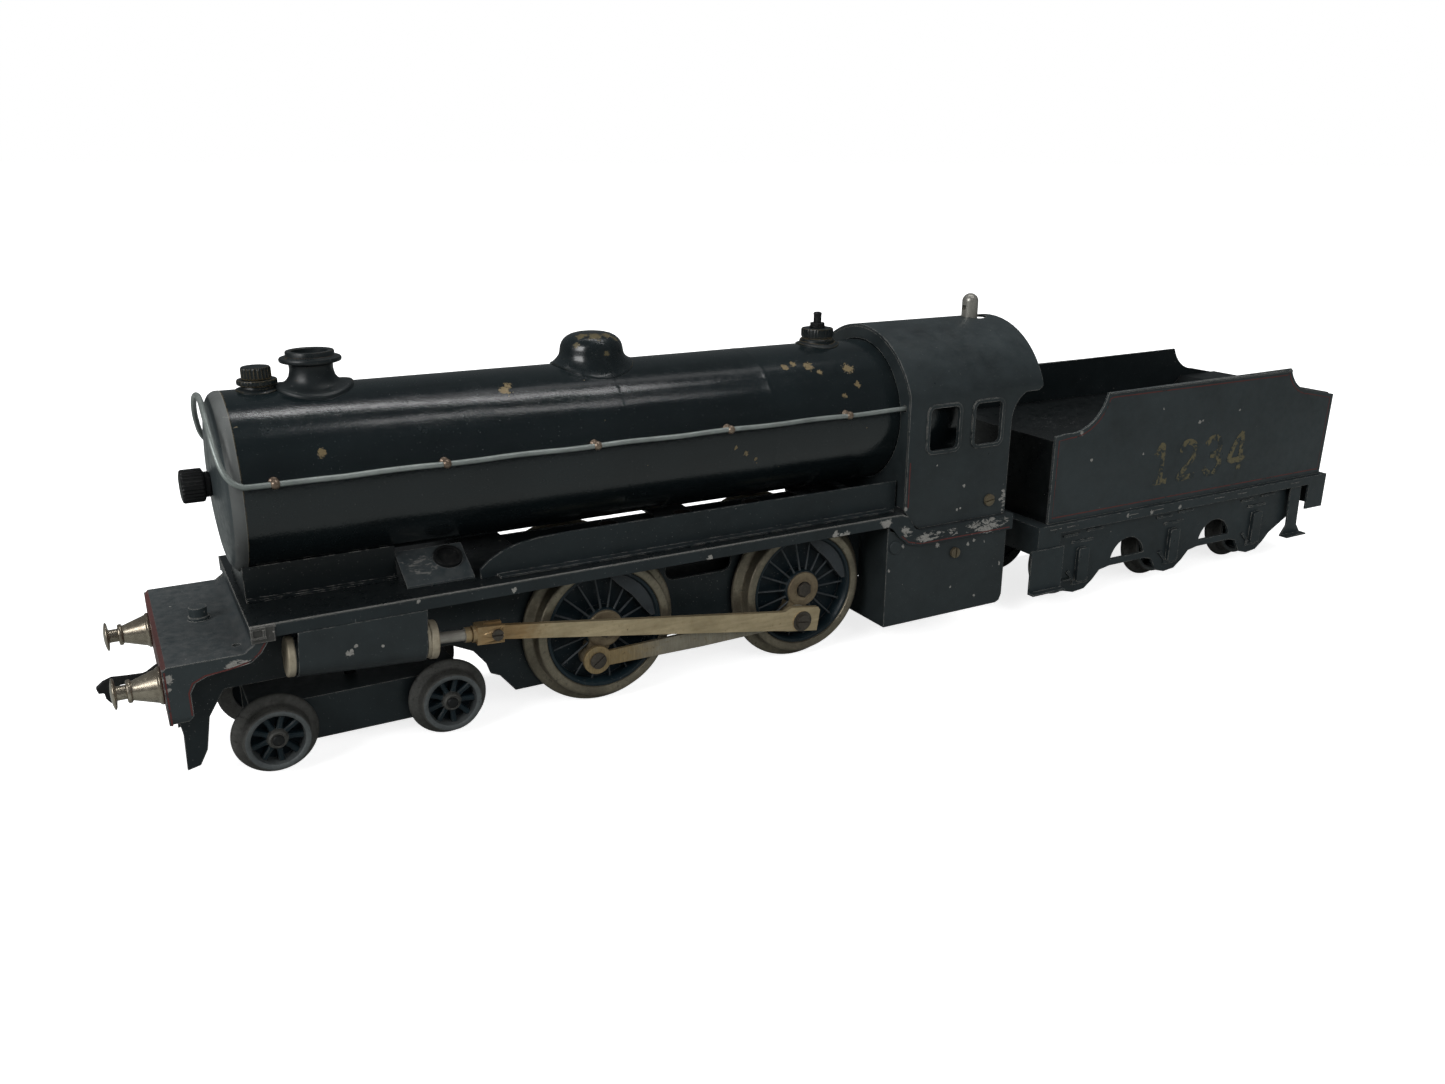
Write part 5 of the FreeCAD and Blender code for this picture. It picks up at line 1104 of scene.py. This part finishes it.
def figures():
    """Generic running number, painted by hand and mostly worn away."""
    strokes = {
        "1": [[(0.18, 0.78), (0.5, 1.0), (0.5, 0.0)], [(0.2, 0.0), (0.8, 0.0)]],
        "2": [[(0.08, 0.78), (0.2, 0.94), (0.5, 1.0), (0.8, 0.9), (0.88, 0.7), (0.7, 0.45), (0.3, 0.2),
               (0.08, 0.0), (0.9, 0.02)]],
        "3": [[(0.1, 0.86), (0.35, 1.0), (0.7, 0.97), (0.85, 0.76), (0.7, 0.56), (0.42, 0.52), (0.72, 0.48),
               (0.9, 0.26), (0.72, 0.03), (0.35, 0.0), (0.1, 0.14)]],
        "4": [[(0.66, 0.0), (0.66, 1.0), (0.06, 0.3), (0.92, 0.3)]],
    }
    shape = Shape()
    for side in SIDES:
        bar = 0
        for place, digit in enumerate("1234"):
            for stroke in strokes[digit]:
                x0 = (115.5 if side < 0 else 163.5) - side * FIGURE_PITCH * place
                path = smooth_path([(x0 - side * px * FIGURE_WIDTH, 0, FIGURE_Z + pz * FIGURE_HEIGHT)
                                    for px, pz in stroke], 3)
                for a, b in zip(path, path[1:]):
                    bar += 1
                    along = (b - a).normalized()
                    off = Vector((-along.z, 0, along.x)) * 1.05
                    a, b = a - along * 0.5, b + along * 0.5
                    corners = [(q.x, q.z) for q in (a - off, b - off, b + off, a + off)]
                    shape.prism(corners, side * CAB_Y, side * (CAB_Y + 0.02 + 0.0015 * bar), "gold")
    shape.make("running_number", "tender")


# ---------------------------------------------------------------- tender details

TAB_XS = (68.5, 76.0, 104.5, 117.0, 149.0, 161.5, 192.0)


def tender_extras():
    """Lip under the front of each side frame and worn tabs along the running plate."""
    shape = Shape()
    for side in SIDES:
        y0 = side * 25.5
        shape.block(65.0, 83.5, y0, side * 26.6, 9.5, 10.1, "tender_frame")
        for x in TENDER_XS:
            shape.prism([(x - 7.0, 12.4), (x - 5.6, 13.0), (x - 3.2, 9.8), (x - 3.8, 9.2)], y0, side * 26.1,
                        "tender_frame")
        for x in TAB_XS:
            shape.block(x, x + 5.2, side * 28.5, side * 28.72, 30.0, 30.35, "frame")
    shape.make("tender_frame_details", "tender", bevel=0.1)


# ---------------------------------------------------------------- the rest of the frame

REFINED = [
    ("main_frames", "frame", 0.12), ("front_platform", "front", 0.14), ("footplate", "foot", 0.14),
    ("saddle", "saddle", 0.12), ("fire_shields", "shield", 0.12), ("lubricator", "skirt", 0.1),
    ("cab_shell", "cab", 0.12), ("cab_front", "cab", 0.1), ("firebox_casing", "casing", 0.14),
    ("whistle", "whistle", 0.08), ("cylinders", "paint", 0.12), ("cylinder_cladding", "cladding", 0.1),
    ("coupling_hook", "dark", 0.22), ("bogie_frame", "paint", 0.14), ("piston_left", "brass", 0.14),
    ("piston_right", "brass", 0.14), ("connecting_rod_left", "brass", 0.16),
    ("connecting_rod_right", "brass", 0.16), ("coupling_rod_left", "steel", 0.16),
    ("coupling_rod_right", "steel", 0.16), ("drawbar", "steel", 0.12), ("tender_body", "tender", 0.12),
    ("tender_deck", "deck", 0.12), ("tender_footplate", "tender_frame", 0.14),
    ("tender_frames", "tender_frame", 0.16), ("tender_steps", "tender_frame", 0.12),
    # the spirit lamp takes the nearly black copper, painted shade between the frames
    ("tender_couplings", "dark", 0.2), ("steam_chest", "frame", 0.12), ("spirit_lamp", "copper", 0.15),
]
PLAIN = {"axle_bushes": "hub", "boiler_flue": "copper", "pivot_pins": "dark", "eccentric_rod_left": "dark",
         "eccentric_rod_right": "dark"}


def piston_rules(node):
    """Bright rod up to its collar and a dark pin head on the crosshead."""
    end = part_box(node)[1].x / MM - SHIFT
    return [("bar", lambda c, n: c.x < end - 10.2), ("pin", lambda c, n: abs(c.y) > 25.63)]


def on_shaded_cup(c, n):
    """True on the round lubricator cup, false on the sloping faces around it."""
    v = c - Vector((-129.3, copysign(14.4, c.y), 48.9))
    h = v.dot(n)
    r = sqrt(max(0.0, v.length_squared - h * h))
    return r < 3.9 and (abs(h) > 0.45 or r > 2.6 or r < 0.1)


def carried_over():
    rules = {"front_platform": [("beam", lambda c, n: n.x < -0.6 and c.x < -198.2)],
             "footplate": [("lug", lambda c, n: abs(c.y) > 28.65 and c.x < -174.0),
                           # the footplate's top faces take the darker top enamel, painted shade
                           ("shaded_foot_top", lambda c, n: n.z > 0.9 and c.z > 44.0)],
             # the cup's faces get blackened steel: painted shade, so that its flat top reads as a hollow
             "lubricator": [("dark", on_shaded_cup)],
             # faces under the cab roof and inside the tender take the darker inside enamel, painted shade
             "cab_shell": [("inside", lambda c, n: -26.6 < c.y < 26.6 and n.z < -0.1 and c.z > 62.0)],
             "tender_body": [("inside", lambda c, n: c.y * n.y < -5.0 and abs(c.y) > 20.0)]}
    for hand in ("left", "right"):
        rules["connecting_rod_" + hand] = [("pin", lambda c, n: abs(c.y) > 24.36)]
        rules["piston_" + hand] = piston_rules("piston_" + hand)
    for node, key, width in REFINED:
        refined(node, key, width, rules.get(node, ()))
    for node, key in PLAIN.items():
        mesh = frame["nodes"][node].data
        mesh.materials.clear()
        mesh.materials.append(M[key])


# ---------------------------------------------------------------- studio

def in_scene(name, data):
    obj = bpy.data.objects.new(name, data)
    SCENE.collection.objects.link(obj)
    return obj


def studio():
    mesh = bpy.data.meshes.new("studio_floor")
    mesh.from_pydata([(-60, -60, 0), (60, -60, 0), (60, 60, 0), (-60, 60, 0)], [], [(0, 1, 2, 3)])
    floor = in_scene("studio_floor", mesh)
    floor.location.z = -0.0001
    mesh.materials.append(floor_finish())
    world = bpy.data.worlds.new("studio")
    world.use_nodes = True
    tree = world.node_tree
    tree.nodes.clear()
    seen, felt = (tree.nodes.new("ShaderNodeBackground") for _ in range(2))
    seen.inputs[0].default_value, seen.inputs[1].default_value = rgb(1, 1, 1), 1.0
    felt.inputs[0].default_value, felt.inputs[1].default_value = rgb(0.9, 0.97, 1.0), 0.09
    path = tree.nodes.new("ShaderNodeLightPath")
    mix = tree.nodes.new("ShaderNodeMixShader")
    out = tree.nodes.new("ShaderNodeOutputWorld")
    tree.links.new(path.outputs["Is Camera Ray"], mix.inputs[0])
    tree.links.new(felt.outputs[0], mix.inputs[1])
    tree.links.new(seen.outputs[0], mix.inputs[2])
    tree.links.new(mix.outputs[0], out.inputs[0])
    SCENE.world = world
    lamp("overhead_soft", (0.0, 0.26, 1.0), (0, 0, 0.05), 1.3, 0.3, 7.0, mirrored=False)
    lamp("overhead_band", (0.05, 0.2, 1.0), (0, 0, 0.05), 1.0, 0.1, 0.3)
    lamp("overhead_strip", (0.14, 0.0, 1.0), (0, 0, 0.05), 0.6, 0.04, 1.0, -38.0)
    lamp("side_strip", (0.24, -0.42, 1.0), (0, 0, 0.05), 0.5, 0.03, 0.45, -26.0)
    lamp("front_soft", (-1.2, -0.45, 0.7), (-0.05, 0, 0.04), 0.7, 0.6, 9.0)
    lamp("side_soft", (0.3, -1.3, 0.75), (0.0, 0, 0.04), 1.6, 0.6, 8.0, mirrored=False)
    SCENE.view_settings.view_transform = "Standard"
    SCENE.view_settings.look = "None"


def floor_finish():
    """Pale floor that glows a little, so that it stays white while the model's own shadow still shows."""
    s = Shader("pale_floor")
    soft = s.noise(3.0, 2.0, 0.5)
    pale = s.add("ShaderNodeBsdfDiffuse", {"Color": s.blend(s.range(soft, 0.0, 1.0), rgb(0.8, 0.8, 0.8),
                                                             rgb(0.84, 0.84, 0.84))})
    away = s.add("ShaderNodeVectorMath", {0: s.place}, operation="LENGTH")
    strength = s.plus(0.8, s.times(s.step(away.outputs["Value"], 0.3, 0.9), 0.25))
    glow = s.add("ShaderNodeEmission", {"Color": rgb(1, 1, 1), "Strength": strength})
    seen = s.add("ShaderNodeAddShader", {0: pale.outputs[0], 1: glow.outputs[0]})
    dull = s.add("ShaderNodeBsdfDiffuse", {"Color": rgb(0.2, 0.2, 0.2)})
    mirrored = s.add("ShaderNodeBsdfDiffuse", {"Color": rgb(0.33, 0.35, 0.34)})
    path = s.add("ShaderNodeLightPath")
    other = s.add("ShaderNodeMixShader", {0: path.outputs["Is Glossy Ray"], 1: dull.outputs[0],
                                          2: mirrored.outputs[0]})
    mix = s.add("ShaderNodeMixShader", {0: path.outputs["Is Camera Ray"], 1: other.outputs[0],
                                        2: seen.outputs[0]})
    s.add("ShaderNodeOutputMaterial", {"Surface": mix.outputs[0]})
    return s.mat


def lamp(name, place, aim, width, depth, power, turn=None, mirrored=True):
    data = bpy.data.lights.new(name, "AREA")
    data.shape = "RECTANGLE"
    data.size, data.size_y, data.energy = width, depth, power
    obj = in_scene(name, data)
    obj.location = place
    obj.rotation_euler = (Vector(aim) - Vector(place)).to_track_quat("-Z", "Y").to_euler()
    if turn is not None:
        obj.rotation_euler = (0, 0, radians(turn))
    obj.visible_glossy = mirrored


# fitted to the wheels, the boiler's ends and the tender's corners
LENS_MM = 28.76
CAMERA_AT = (-0.2071, -0.2951, 0.1463)
CAMERA_RIGHT, CAMERA_UP = (0.87468, -0.48469, 0.0032), (0.14917, 0.27547, 0.94966)


def camera():
    data = bpy.data.cameras.new("camera")
    data.sensor_width = 36.0
    data.lens = LENS_MM
    data.clip_start = 0.01
    obj = in_scene("camera", data)
    right, up = Vector(CAMERA_RIGHT), Vector(CAMERA_UP)
    back = right.cross(up).normalized()
    up = back.cross(right).normalized()
    turn = Matrix((right.normalized(), up, back)).transposed().to_4x4()
    obj.matrix_world = Matrix.Translation(CAMERA_AT) @ turn
    SCENE.camera = obj


carried_over()
barrel()
smokebox()
boiler_top()
rail()
screws()
lugs()
driver(FRONT_DRIVER_X, "front_driving")
driver(REAR_DRIVER_X, "rear_driving", eccentric=True)
for wheel_node, wheel_x in zip(("bogie_front_wheelset", "bogie_rear_wheelset"), BOGIE_XS):
    small_wheels(wheel_x, BOGIE_TREAD, BOGIE_FLANGE, 2.5, 9, 20.1, wheel_node, 0.1)
for wheel_node, wheel_x in zip(("tender_front_wheelset", "tender_middle_wheelset", "tender_rear_wheelset"),
                               TENDER_XS):
    small_wheels(wheel_x, TENDER_TREAD, TENDER_FLANGE, 3.0, 8, 25.4, wheel_node, 0.3)
buffers()
cylinder_ends()
lining()
figures()
tender_extras()
studio()
camera()
